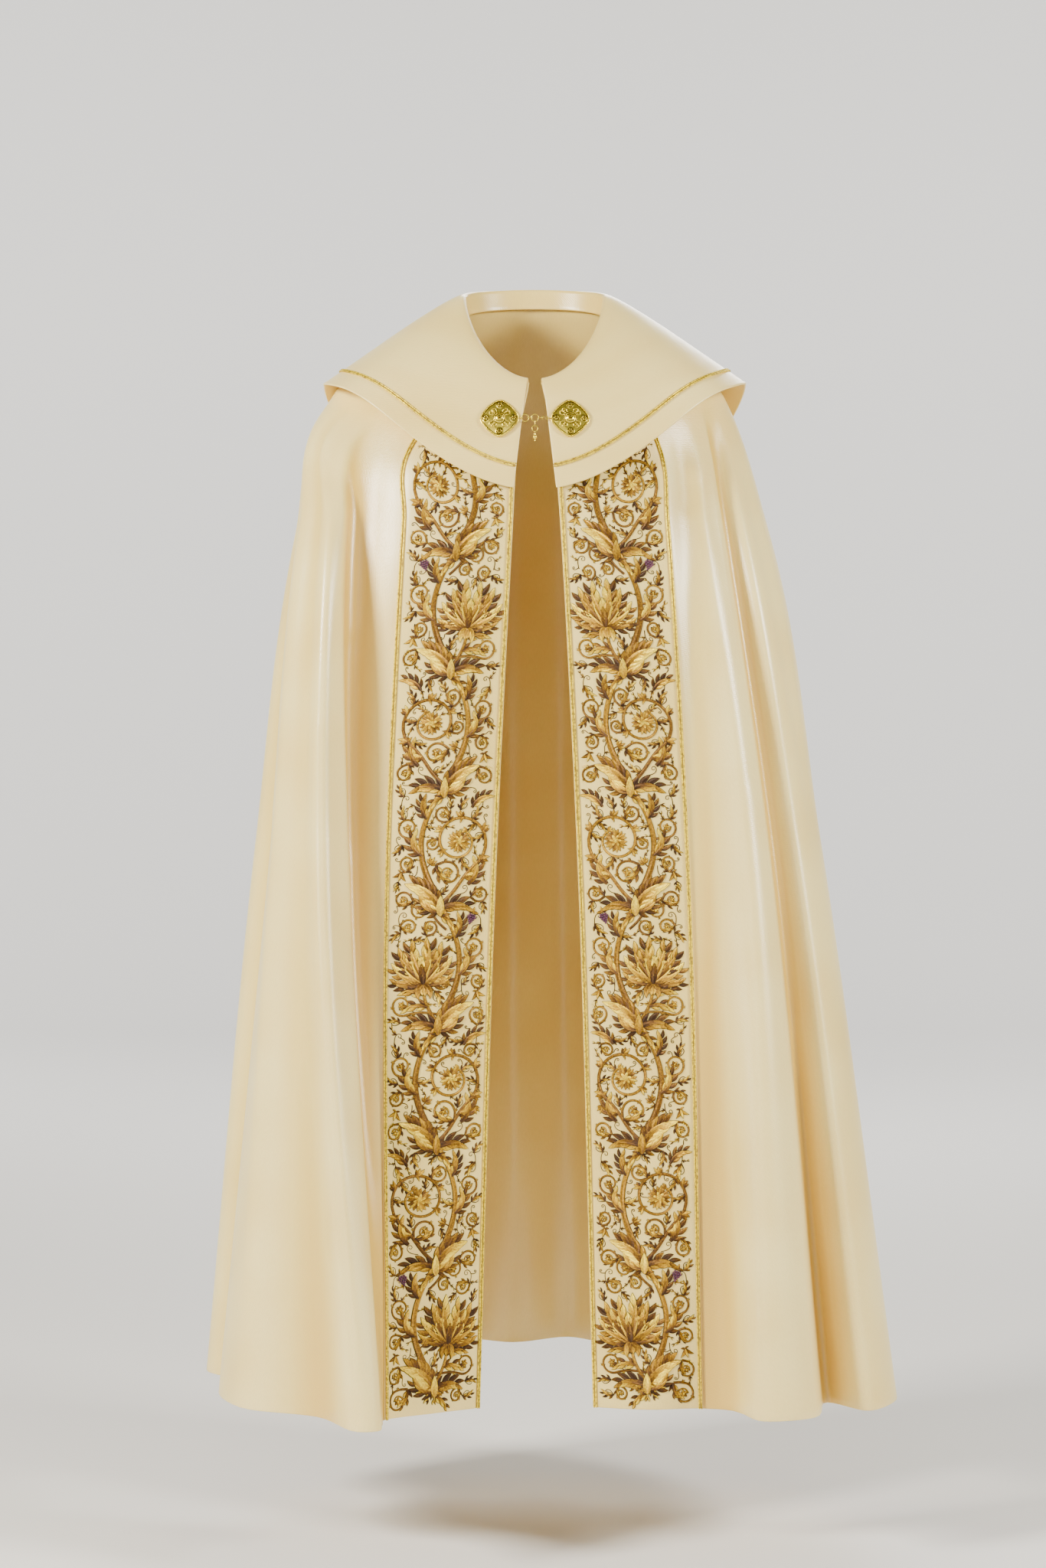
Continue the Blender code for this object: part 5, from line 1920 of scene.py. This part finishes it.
class Shape:
    """Points, faces and hollow values that grow into one mesh."""

    def __init__(self) -> None:
        """Start empty."""
        self.points: list[np.ndarray] = []
        self.faces: list[list[int]] = []
        self.hollow: list[np.ndarray] = []
        self.count = 0

    def add(self, points: np.ndarray, faces: Sequence[Sequence[int]], hollow: Any = 0.0) -> None:
        """Add a part.

        Args:
            points: Rows of three.
            faces: Each face's point numbers within the part.
            hollow: How much of the brass's dark colour, tarnish and painted shade, it gets there, one
                value or one for each point.
        """
        self.points.append(np.asarray(points, float))
        self.faces.extend([self.count + int(k) for k in face] for face in faces)
        self.hollow.append(np.broadcast_to(np.asarray(hollow, float), (len(points),)))
        self.count += len(points)

    def add_mesh(self, mesh: Mesh, hollow: float = 0.0) -> None:
        """Add a plain mesh."""
        points = np.array([v.co for v in mesh.vertices])
        self.add(points, [list(p.vertices) for p in mesh.polygons], hollow)

    def add_tube(
        self, line: np.ndarray, radius: Any, sides: int = 8, closed: bool = False, hollow: float = 0.0
    ) -> None:
        """Add a round wire.

        Args:
            line: Its middle line, rows of three.
            radius: Its radius, one value or one for each point.
            sides: How many sides it has.
            closed: Whether its end meets its start.
            hollow: How much of the brass's dark colour, tarnish and painted shade, it gets there.
        """
        count = len(line)
        radii = np.broadcast_to(np.asarray(radius, float), (count,))
        if closed:
            ways = np.roll(line, -1, axis=0) - np.roll(line, 1, axis=0)
        else:
            ways = np.gradient(line, axis=0)
        ways = ways / np.linalg.norm(ways, axis=1, keepdims=True)
        normal = np.cross(ways[0], (0.0, 0.0, 1.0))
        if np.linalg.norm(normal) < 0.1:
            normal = np.cross(ways[0], (0.0, 1.0, 0.0))
        rings = []
        turns = math.tau * np.arange(sides) / sides
        for place, way, wide in zip(line, ways, radii):
            normal = normal - way * normal.dot(way)
            normal = normal / np.linalg.norm(normal)
            out = np.cos(turns)[:, None] * normal + np.sin(turns)[:, None] * np.cross(way, normal)
            rings.append(place + wide * out)
        faces = tube_faces(count, sides, closed)
        if not closed:
            faces.append(tuple(reversed(range(sides))))
            faces.append(tuple((count - 1) * sides + s for s in range(sides)))
        self.add(np.concatenate(rings), faces, hollow)

    def make(
        self, name: str, material: Material, place: Matrix | None = None
    ) -> Object:
        """Return the mesh as a piece, moved to its place."""
        mesh = bpy.data.meshes.new(name)
        mesh.from_pydata(np.concatenate(self.points).tolist(), [], self.faces)
        set_attribute(mesh, "hollow", np.concatenate(self.hollow))
        if place is not None:
            mesh.transform(place)
        mesh.shade_smooth()
        return link_piece(name, mesh, material)


@dataclass
class Clasp:
    """Two gilt plates, the chain between them and the pendant on its middle ring."""

    brass: Material
    collar: CollarForm = CollarForm()
    plate_deg: float = 14.0
    plate_share: float = 0.46
    plate_radius: float = 0.0235
    plate_waist: float = 0.84
    plate_wall: float = 0.0014
    plate_rise: float = 0.0022
    boss_rise: float = 0.0026
    boss_radius: float = 0.0062
    lobe_rise: float = 0.0013
    lobe_place: float = 0.72
    lobe_radius: float = 0.0046
    plate_standoff: float = 0.0002
    sectors: int = 96
    plate_rings: int = 24
    ring_radius: float = 0.0043
    ring_wire: float = 0.0012
    eye_radius: float = 0.0018
    eye_proud: float = 0.0008
    link_radius: float = 0.0016
    link_wire: float = 0.0010
    hook_radius: float = 0.0019
    wire_play: float = 0.0003
    drop_ring_radius: float = 0.0036
    drop_ring_below: float = 0.0128
    bail_radius: float = 0.0017
    bead_length: float = 0.0090
    bead_radius: float = 0.0026
    bead_rings: int = 32
    bead_sides: int = 24
    bend_steps: int = 12
    hook_steps: int = 18
    wire_lift: float = 0.0002
    wire_tarnish: float = 0.3
    floret_ring: float = 0.0033
    scroll_place: float = 0.0082
    scroll_steps: int = 22
    # share of the plate's reach, wire radius, darkness as painted shade
    rim_wires: tuple[tuple[float, float, float], ...] = ((0.985, 0.00070, 0.0), (0.90, 0.00050, 0.9))
    # ring radius, wire radius, darkness as painted shade
    boss_wires: tuple[tuple[float, float, float], ...] = (
        (0.0072, 0.00060, 0.8), (0.0048, 0.00055, 0.8), (0.0027, 0.0005, 0.0),
    )
    beads: NodeTree = field(default_factory=bead_tree)

    def plate_frame(self, side: Side) -> Matrix:
        """Return a plate's frame on the collar: its X runs right, its Z stands off."""
        turn, share = side.value * self.plate_deg, self.plate_share
        around = self.collar.point(turn + 1.0, share) - self.collar.point(turn - 1.0, share)
        down = self.collar.point(turn, share + 0.02) - self.collar.point(turn, share - 0.02)
        normal = around.cross(-down).normalized()
        right = UP.cross(normal).normalized()
        placed = Matrix((right, normal.cross(right), normal)).transposed().to_4x4()
        lift = self.plate_standoff + self.plate_wall
        placed.translation = self.collar.point(turn, share) + normal * lift
        return placed

    def reach(self, turns: np.ndarray) -> np.ndarray:
        """Return how far the plate's edge lies from its middle, for each way round."""
        lobes = 0.5 + 0.5 * np.cos(4.0 * turns)
        small = 0.045 * np.maximum(0.0, -np.cos(4.0 * turns)) ** 2
        return self.plate_radius * (self.plate_waist + (1.0 - self.plate_waist) * lobes + small)

    def height(self, x: np.ndarray, y: np.ndarray) -> np.ndarray:
        """Return how far the plate's face stands off at points of its frame."""
        radius = np.hypot(x, y)
        height = self.plate_rise * (1.0 - (radius / self.plate_radius) ** 2)
        height += self.boss_rise * np.maximum(0.0, 1.0 - (radius / self.boss_radius) ** 2)
        for quarter in range(4):
            middle = self.lobe_middle(quarter)
            away = np.hypot(x - middle.real, y - middle.imag)
            height += self.lobe_rise * np.maximum(0.0, 1.0 - (away / self.lobe_radius) ** 2)
        return height

    def on_plate(self, flat: np.ndarray, lift: Any) -> np.ndarray:
        """Return points that stand off the plate's face by lift, from their flat places."""
        return np.stack([flat.real, flat.imag, self.height(flat.real, flat.imag) + lift], axis=1)

    def edge_line(self, share: float) -> np.ndarray:
        """Return a line that follows the plate's edge at a share of its reach, laid flat."""
        turns = math.tau * np.arange(self.sectors) / self.sectors
        reach = self.reach(turns) * share
        return reach * np.cos(turns) + 1j * (reach * np.sin(turns))

    def lobe_middle(self, quarter: int) -> complex:
        """Return the middle of one of the plate's four lobes, laid flat."""
        return self.lobe_place * self.plate_radius * 1j**quarter

    def add_base(self, shape: Shape) -> None:
        """Add the thin domed plate with its back and edge."""
        middle = np.zeros(1, complex)
        points = [self.on_plate(middle, 0.0)]
        # painted shade: the middle under the eye, the sunk ground between boss and rim, and the back are
        # darkened
        hollow = [np.array([0.5])]
        for ring in range(1, self.plate_rings + 1):
            share = ring / self.plate_rings
            points.append(self.on_plate(self.edge_line(share), 0.0))
            hollow.append(np.full(self.sectors, 0.22 if 0.25 < share < 0.88 else 0.0))
        points.append(self.on_plate(self.edge_line(1.0), -self.plate_wall))
        points.append(self.on_plate(middle, -self.plate_wall))
        hollow.extend([np.full(self.sectors, 0.2), np.array([0.2])])
        faces = tube_faces(self.plate_rings + 1, self.sectors, start=1, outward=False)
        last = 1 + self.sectors * (self.plate_rings + 1)
        for s in range(self.sectors):
            t = (s + 1) % self.sectors
            faces.append((0, 1 + s, 1 + t))
            faces.append((last, last - self.sectors + t, last - self.sectors + s))
        shape.add(np.concatenate(points), faces, np.concatenate(hollow))

    def add_filigree(self, shape: Shape) -> None:
        """Add the rim wires, the scrolls and the rings round the bosses."""
        lift = self.wire_lift
        for share, wire, hollow in self.rim_wires:
            rim = self.on_plate(self.edge_line(share), lift)
            shape.add_tube(rim, wire, 8, closed=True, hollow=hollow)
        ring = np.exp(1j * math.tau * np.arange(32) / 32)
        for radius, wire, hollow in self.boss_wires:
            shape.add_tube(self.on_plate(ring * radius, lift), wire, 6, closed=True, hollow=hollow)
        for quarter in range(4):
            line = self.lobe_middle(quarter) + ring[::2] * self.floret_ring
            # painted shade on the floret rings
            shape.add_tube(self.on_plate(line, 0.0003), 0.00080, 6, closed=True, hollow=0.9)
            for hand in (-1, 1):
                turn = math.pi / 2 * quarter + hand * math.radians(27.0)
                start = self.scroll_place * np.exp(1j * turn)
                line = curl_line(start, turn - hand * 0.5, 0.0140, hand * 4.6, 1.5, self.scroll_steps)
                shape.add_tube(self.on_plate(line, lift), 0.00048, 6)
                start, heading = start * 1.05, turn + hand * 0.9
                line = curl_line(start, heading, 0.0085, -hand * 4.2, 1.5, self.scroll_steps)
                # painted shade on the inner scrolls
                shape.add_tube(self.on_plate(line, lift), 0.00050, 6, hollow=0.8)

    def add_granules(self, shape: Shape) -> None:
        """Add the beads of the rim, the florets of the lobes and the middle boss."""
        rows: list[tuple[complex, float, float]] = []
        turns = math.tau * np.arange(64) / 64
        for turn, reach in zip(turns, self.reach(turns) * 0.94):
            rows.append((reach * np.exp(1j * turn), 0.00052, 0.0004))
        for turn in math.tau * np.arange(20) / 20:
            rows.append((0.0060 * np.exp(1j * turn), 0.00055, 0.0003))
        for quarter in range(4):
            for turn in math.tau * np.arange(6) / 6:
                place = self.lobe_middle(quarter) + 0.0021 * np.exp(1j * turn)
                rows.append((place, 0.00085, 0.0002))
            diagonal = np.exp(1j * (math.pi / 4 + math.pi / 2 * quarter))
            for reach, size in ((0.0088, 0.0008), (0.0112, 0.0010), (0.0136, 0.0008)):
                rows.append((reach * diagonal, size, 0.0003))
        self.add_beads(shape, rows, 2, 0.0)

    def add_eyes(self, shape: Shape) -> None:
        """Add the dark sunk eyes of the lobes and of the middle boss."""
        # painted shade: the sunk eyes are darkened
        rows = [(0.0 + 0.0j, 0.0021, 0.0002)]
        rows += [(self.lobe_middle(quarter), 0.0020, 0.0002) for quarter in range(4)]
        self.add_beads(shape, rows, 3, 0.9)

    def add_beads(
        self, shape: Shape, rows: list[tuple[complex, float, float]], detail: int, hollow: float
    ) -> None:
        """Add a bead for each row.

        Args:
            shape: The shape that grows.
            rows: Each bead's flat place on the plate, radius and lift.
            detail: How finely each bead is divided.
            hollow: How dark the beads are.
        """
        places, sizes, lifts = (np.array(values) for values in zip(*rows))
        source = point_mesh(self.on_plate(places, lifts), sizes)
        inputs = {"Detail": detail, "Material": self.brass}
        shape.add_mesh(evaluated_mesh("beads", source, self.beads, inputs), hollow)

    def make_plate(self, side: Side) -> None:
        """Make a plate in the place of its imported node."""
        shape = Shape()
        self.add_base(shape)
        self.add_filigree(shape)
        self.add_granules(shape)
        self.add_eyes(shape)
        self.finish(shape, f"plate_{side.word}_filigree", f"plate_{side.word}", VESTMENT,
                    self.plate_frame(side))

    def finish(
        self, shape: Shape, name: str, node: str, body: str, place: Matrix | None = None
    ) -> None:
        """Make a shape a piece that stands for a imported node.

        Args:
            shape: The shape.
            name: The piece's name.
            node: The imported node.
            body: The body that it rides on.
            place: The shape's frame.
        """
        piece = shape.make(name, self.brass, place)
        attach(piece, body)
        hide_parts(node)

    def ring_line(self, radius: float, turn: Matrix, place: Vector, count: int = 40) -> np.ndarray:
        """Return a round ring's middle line, turned from lying flat."""
        turns = math.tau * np.arange(count) / count
        flat = [Vector((radius * math.cos(t), radius * math.sin(t), 0.0)) for t in turns]
        return np.array([place + turn @ point for point in flat])

    def link_line(self, start: float, end: float) -> list[tuple[float, float]]:
        """Return the middle line of a long link whose wire passes start and end."""
        radius = self.link_radius
        points = []
        for middle, first in ((start + radius, math.pi / 2), (end - radius, -math.pi / 2)):
            for step in range(self.bend_steps + 1):
                turn = first + math.pi * step / self.bend_steps
                points.append((middle + radius * math.cos(turn), radius * math.sin(turn)))
        return points

    def make_wire(
        self, node: str, line: np.ndarray, wire: float, body: str, closed: bool = True
    ) -> None:
        """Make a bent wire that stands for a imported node."""
        shape = Shape()
        shape.add_tube(np.asarray(line, float), wire / 2, 12, closed, self.wire_tarnish)
        self.finish(shape, f"{node}_wire", node, body)

    @property
    def grip(self) -> float:
        """Return how far inside a ring's middle line a link's middle line passes."""
        return self.ring_wire / 2 + self.wire_play + self.link_wire / 2

    def make_chain(self) -> None:
        """Make the eyes, rings, links, the S hook and the pendant."""
        play, wire = self.wire_play, self.link_wire
        reach = self.plate_radius + self.eye_radius + wire / 2 + play
        eye = self.plate_frame(Side.LEFT) @ Vector((reach, 0.0, self.eye_proud))
        half, middle = -eye.x, Vector((0.0, eye.y, eye.z))
        ring_slack = self.eye_radius - wire / 2 - self.ring_wire / 2 - play
        ring_left = -half + ring_slack + self.ring_radius
        hook_right = half - (self.eye_radius - wire - play) - self.hook_radius
        hook_left = hook_right - 2.0 * self.hook_radius
        self.make_rings(middle, half, ring_left)
        self.make_links(middle, ring_left, hook_left)
        self.make_hook(middle, hook_left, hook_right)
        self.make_pendant(middle)

    def make_rings(self, middle: Vector, half: float, ring_left: float) -> None:
        """Make the two eyes and the two round rings.

        Args:
            middle: The chain's middle.
            half: How far the eyes lie from it.
            ring_left: The X of the left ring.
        """
        rings = (
            ("eye_left", -half, self.eye_radius, self.link_wire, FLAT),
            ("eye_right", half, self.eye_radius, self.link_wire, FLAT),
            ("ring_left", ring_left, self.ring_radius, self.ring_wire, FACING),
            ("ring_middle", 0.0, self.ring_radius, self.ring_wire, FACING),
        )
        for node, x, radius, thick, turn in rings:
            line = self.ring_line(radius, turn, middle + Vector((x, 0.0, 0.0)))
            self.make_wire(node, line, thick, VESTMENT)

    def make_links(self, middle: Vector, ring_left: float, hook_left: float) -> None:
        """Make the two long links, from the left ring to the middle one and on to the hook."""
        reach, grip = self.ring_radius, self.grip
        hooked = hook_left - self.hook_radius + self.link_wire + self.wire_play
        links = (
            ("link_left", ring_left + reach - grip, -reach + grip),
            ("link_right", reach - grip, hooked),
        )
        for node, start, end in links:
            line = [middle + Vector((x, y, 0.0)) for x, y in self.link_line(start, end)]
            self.make_wire(node, line, self.link_wire, VESTMENT)

    def make_hook(self, middle: Vector, left: float, right: float) -> None:
        """Make the S hook from the X of its two bends."""
        line = []
        for centre, first, sweep in ((left, -75.0, -195.0), (right, -90.0, 195.0)):
            for step in range(self.hook_steps + 1):
                turn = math.radians(first + sweep * step / self.hook_steps)
                out, tall = self.hook_radius * math.cos(turn), self.hook_radius * math.sin(turn)
                line.append(middle + Vector((centre + out, 0.0, tall)))
        self.make_wire("hook", line, self.link_wire, VESTMENT, closed=False)

    def make_pendant(self, middle: Vector) -> None:
        """Make the pendant that hangs from the middle ring: link, ring, bail and bead."""
        play, wire = self.wire_play, self.link_wire
        drop_top = self.drop_ring_below - self.drop_ring_radius
        small_grip = wire + play
        line = [middle + Vector((0.0, y, -x))
                for x, y in self.link_line(self.ring_radius - self.grip, drop_top + small_grip)]
        self.make_wire("pendant_link", line, wire, PENDANT_LINK)
        swing = middle - UP * drop_top
        line = self.ring_line(self.drop_ring_radius, FACING, swing - UP * self.drop_ring_radius)
        self.make_wire("drop_ring", line, wire, PENDANT_DROP)
        bail = 2.0 * self.drop_ring_radius + self.bail_radius - small_grip
        line = self.ring_line(self.bail_radius, SIDEWAYS, swing - UP * bail)
        self.make_wire("drop_bail", line, wire, PENDANT_DROP)
        self.make_bead(swing - UP * (bail + self.bail_radius + wire / 2 + play))

    def make_bead(self, top: Vector) -> None:
        """Make the turned drop at the pendant's end."""
        profile = np.array([
            # share of the largest radius, share of the length
            (0.0, 0.0), (0.45, 0.0), (0.40, 0.10), (0.75, 0.22), (1.0, 0.42),
            (0.85, 0.62), (0.40, 0.76), (0.30, 0.84), (0.36, 0.92), (0.0, 1.0),
        ])
        lengths = np.concatenate([[0.0], np.cumsum(np.hypot(*np.diff(profile, axis=0).T))])
        fine = smooth_through(profile, lengths, np.linspace(0.0, lengths[-1], self.bead_rings))
        wide = np.maximum(fine[1:-1, 0], 0.02) * self.bead_radius
        sides = self.bead_sides
        turns = math.tau * np.arange(sides) / sides
        rings = np.stack([
            wide[:, None] * np.cos(turns), wide[:, None] * np.sin(turns),
            np.broadcast_to(-fine[1:-1, 1, None] * self.bead_length, (len(wide), sides)),
        ], axis=2)
        faces = tube_faces(len(wide), sides, outward=False)
        faces.append(tuple(range(sides)))
        faces.append(tuple((len(wide) - 1) * sides + s for s in reversed(range(sides))))
        shape = Shape()
        shape.add(rings.reshape(-1, 3) + np.array(top), faces)
        self.finish(shape, "drop_bead_turned", "drop_bead", PENDANT_DROP)

    def make(self) -> None:
        """Make the whole clasp."""
        for side in Side:
            self.make_plate(side)
        self.make_chain()
        log.info("clasp: two plates, chain and pendant")


@dataclass
class Embroidery:
    """The raised gold work of one orphrey."""

    side: Side
    band: BandMap
    design: Rinceau
    thread: Material
    gilt: Material
    silk: Material
    pad_height: float = 0.0011
    layer_height: float = 0.00014
    root_depth: float = 0.0002
    pad_slope: float = 0.55
    cord_slope: float = 1.1

    def on_side(self, flat: np.ndarray) -> np.ndarray:
        """Return the left band's places as they lie on this side's band."""
        return flat if self.side is Side.LEFT else -np.conj(flat)

    def flat_points(self, form: Form) -> tuple[np.ndarray, np.ndarray, np.ndarray, np.ndarray]:
        """Return a form's grid on the flat band.

        Args:
            form: The stitched form.

        Returns:
            Its points as complex numbers, their heights, their places within the form, and their
            thread values, each with a row for every point of its line.
        """
        padded = form.stitch is Stitch.PADDED
        across, profile = np.array(form.profile).T
        steps = np.gradient(form.line)
        normal = 1j * steps / np.maximum(np.abs(steps), 1e-9)
        flat = form.line[:, None] + normal[:, None] * form.half[:, None] * across
        slope = self.pad_slope if padded else self.cord_slope
        tall = np.minimum(self.pad_height, form.half * slope)
        base = form.layer * self.layer_height
        height = np.where(profile > 0, base + tall[:, None] * profile, -self.root_depth)
        along = np.concatenate([[0.0], np.cumsum(np.abs(np.diff(form.line)))])
        place = np.stack(np.broadcast_arrays(form.half[:, None] * across, along[:, None]), axis=2)
        share = np.linspace(0.0, 1.0, len(form.line))[:, None]
        tone = form.tones[0] + (form.tones[1] - form.tones[0]) * share
        rim = form.half[:, None] * (1.0 - np.abs(across)) / MM
        if not padded:
            rim = rim + 1.0
        # a number of the form's own, from where it starts
        own = (form.line[0].real * 631.0 + form.line[0].imag * 977.0) % 1.0
        thread = np.stack(np.broadcast_arrays(tone, rim, own), axis=2)
        return flat, height, place, thread

    def make_forms(self) -> Object:
        """Return the stitched forms as one piece."""
        flats, heights, places, threads, faces, count = [], [], [], [], [], 0
        for form in self.design.forms:
            flat, height, place, thread = self.flat_points(form)
            rings, columns = flat.shape
            quads = grid_faces(rings, columns, count)
            faces.append(quads if self.side is Side.RIGHT else quads[:, ::-1])
            count += rings * columns
            flats.append(flat.ravel())
            heights.append(height.ravel())
            places.append(place.reshape(-1, 2))
            threads.append(thread.reshape(-1, 3))
        mesh = bpy.data.meshes.new(f"orphrey_{self.side.word}_embroidery")
        points = self.band.place(self.on_side(np.concatenate(flats)), np.concatenate(heights))
        mesh.from_pydata(points.tolist(), [], np.concatenate(faces).tolist())
        set_uv(mesh, np.concatenate(places))
        set_attribute(mesh, "thread", np.concatenate(threads))
        mesh.shade_smooth()
        log.info("%s: %d triangles", mesh.name, 2 * len(mesh.polygons))
        return link_piece(mesh.name, mesh, self.thread)

    def make_dots(
        self, word: str, rows: list[tuple[complex, float]], material: Material, detail: int
    ) -> Object:
        """Return knots or seeds as one piece.

        Args:
            word: What they are.
            rows: Each one's flat place and radius.
            material: Their finish.
            detail: How finely each ball is divided.

        Returns:
            The piece.
        """
        flat, sizes = (np.array(values) for values in zip(*rows))
        lift = np.full(len(rows), self.pad_height) + (np.arange(len(rows)) % 3) * 0.0001
        source = point_mesh(self.band.place(self.on_side(flat), lift), sizes)
        name = f"orphrey_{self.side.word}_{word}"
        inputs = {"Detail": detail, "Material": material}
        return link_piece(name, evaluated_mesh(name, source, bead_tree(), inputs), material)

    def make(self) -> None:
        """Make the forms, the seeds and the berries."""
        pieces = (
            self.make_forms(),
            self.make_dots("seeds", self.design.dots, self.gilt, 1),
            self.make_dots("berries", self.design.berries, self.silk, 2),
        )
        for piece in pieces:
            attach(piece, VESTMENT)


class Light(NamedTuple):
    """A soft square light: its place, what it looks at, its side, its power and its colour."""

    name: str
    place: tuple[float, float, float]
    target: tuple[float, float, float]
    size: float
    watts: float
    colour: str


CLOTH_MIDDLE = (0.0, 0.0, -0.65)
SWEEP_MIDDLE = (0.0, 11.0, 1.0)
LIGHTS = (
    Light("left", (-3.0, -2.2, 1.0), CLOTH_MIDDLE, 0.9, 320.0, "#FFFAF0"),
    Light("right", (3.1, -1.9, 0.8), CLOTH_MIDDLE, 0.9, 190.0, "#FFFCF6"),
    Light("front", (-0.6, -5.2, 0.9), CLOTH_MIDDLE, 2.2, 45.0, "#FFFDF8"),
    Light("rear", (0.8, 4.4, 2.2), CLOTH_MIDDLE, 2.2, 150.0, "#FFFDF8"),
    Light("backdrop left", (-4.5, 5.0, 2.6), SWEEP_MIDDLE, 2.0, 420.0, "#FFFFFF"),
    Light("backdrop right", (4.5, 5.0, 2.6), SWEEP_MIDDLE, 2.0, 420.0, "#FFFFFF"),
)


@dataclass(frozen=True)
class Studio:
    """A pale floor, soft lights and the camera that stands where the photograph's did."""

    camera_x: float = -0.0143
    camera_y: float = -4.08
    camera_z: float = -0.597
    lens: float = 75.0
    sensor_height: float = 36.0
    floor_z: float = -1.520
    floor_half: float = 16.0
    sweep_foot: float = 8.0
    sweep_radius: float = 3.0
    sweep_steps: int = 24
    sweep_height: float = 12.0
    world_colour: str = "#E6E4E0"
    world_strength: float = 0.30

    def make_camera(self) -> None:
        """Make the camera, level and square to the front."""
        data = bpy.data.cameras.new("camera")
        data.sensor_fit = "VERTICAL"
        data.sensor_height = self.sensor_height
        data.lens = self.lens
        camera = bpy.data.objects.new("camera", data)
        camera.location = (self.camera_x, self.camera_y, self.camera_z)
        camera.rotation_euler = (math.pi / 2, 0.0, 0.0)
        bpy.context.scene.collection.objects.link(camera)
        bpy.context.scene.camera = camera

    def make_light(self, row: Light) -> None:
        """Make one soft square light."""
        data = bpy.data.lights.new(row.name, "AREA")
        data.size = row.size
        data.energy = row.watts
        data.color = linear_colour(row.colour)[:3]
        light = bpy.data.objects.new(row.name, data)
        light.location = row.place
        aim = Vector(row.target) - Vector(row.place)
        light.rotation_euler = aim.to_track_quat("-Z", "Y").to_euler()
        bpy.context.scene.collection.objects.link(light)

    def make_floor(self) -> None:
        """Make the floor, which sweeps up to a wall far behind the vestment."""
        half, foot = self.floor_half, self.sweep_foot
        profile = [(-half, 0.0), (foot, 0.0)]
        for step in range(1, self.sweep_steps + 1):
            turn = math.pi / 2 * step / self.sweep_steps
            profile.append((foot + self.sweep_radius * math.sin(turn),
                            self.sweep_radius * (1.0 - math.cos(turn))))
        profile.append((profile[-1][0], self.sweep_height))
        grid = np.array([[(x, y, self.floor_z + z) for x in (-half, half)] for y, z in profile])
        mesh = bpy.data.meshes.new("floor")
        faces = grid_faces(len(profile), 2)[:, ::-1]
        mesh.from_pydata(grid.reshape(-1, 3).tolist(), [], faces.tolist())
        mesh.shade_smooth()
        floor = link_piece("floor", mesh, PlainFinish("pale matt floor", "#E4E2DE", 0.8).make())

    def make_world(self) -> None:
        """Make the even pale light from all round."""
        world = bpy.data.worlds.new("studio")
        world.use_nodes = True
        backdrop = world.node_tree.nodes["Background"]
        backdrop.inputs["Color"].default_value = linear_colour(self.world_colour)
        backdrop.inputs["Strength"].default_value = self.world_strength
        bpy.context.scene.world = world

    def make(self) -> None:
        """Make the camera, the floor, the lights and the world."""
        self.make_camera()
        self.make_floor()
        for row in LIGHTS:
            self.make_light(row)
        self.make_world()
        log.info("studio: camera %.2f m in front", -self.camera_y)


def main() -> None:
    """Build the vestment's looks and the studio."""
    logging.basicConfig(level=logging.INFO, format="%(name)s: %(message)s")
    Studio().make()
    satin = SatinFinish().make()
    cloak = Cloak(satin)
    cloak.make()
    collar = Collar(satin)
    collar.make()
    gilt = BraidFinish().make()
    silk = BraidFinish("dark silk knots", "#5E2A48", "#2E1226", 0.5, 0.0).make()
    thread = ThreadFinish().make()
    for side in Side:
        band = cloak.band(side)
        design = Rinceau(DESIGN_TOP, band.length - DESIGN_FOOT_ROOM)
        Embroidery(side, band, design, thread, gilt, silk).make()
    braids = Braids(gilt)
    for side in Side:
        braids.lay_orphrey_braids(side, cloak.band(side))
    braids.lay_collar_braid(collar)
    Clasp(BrassFinish().make()).make()


if __name__ == "__main__":
    main()
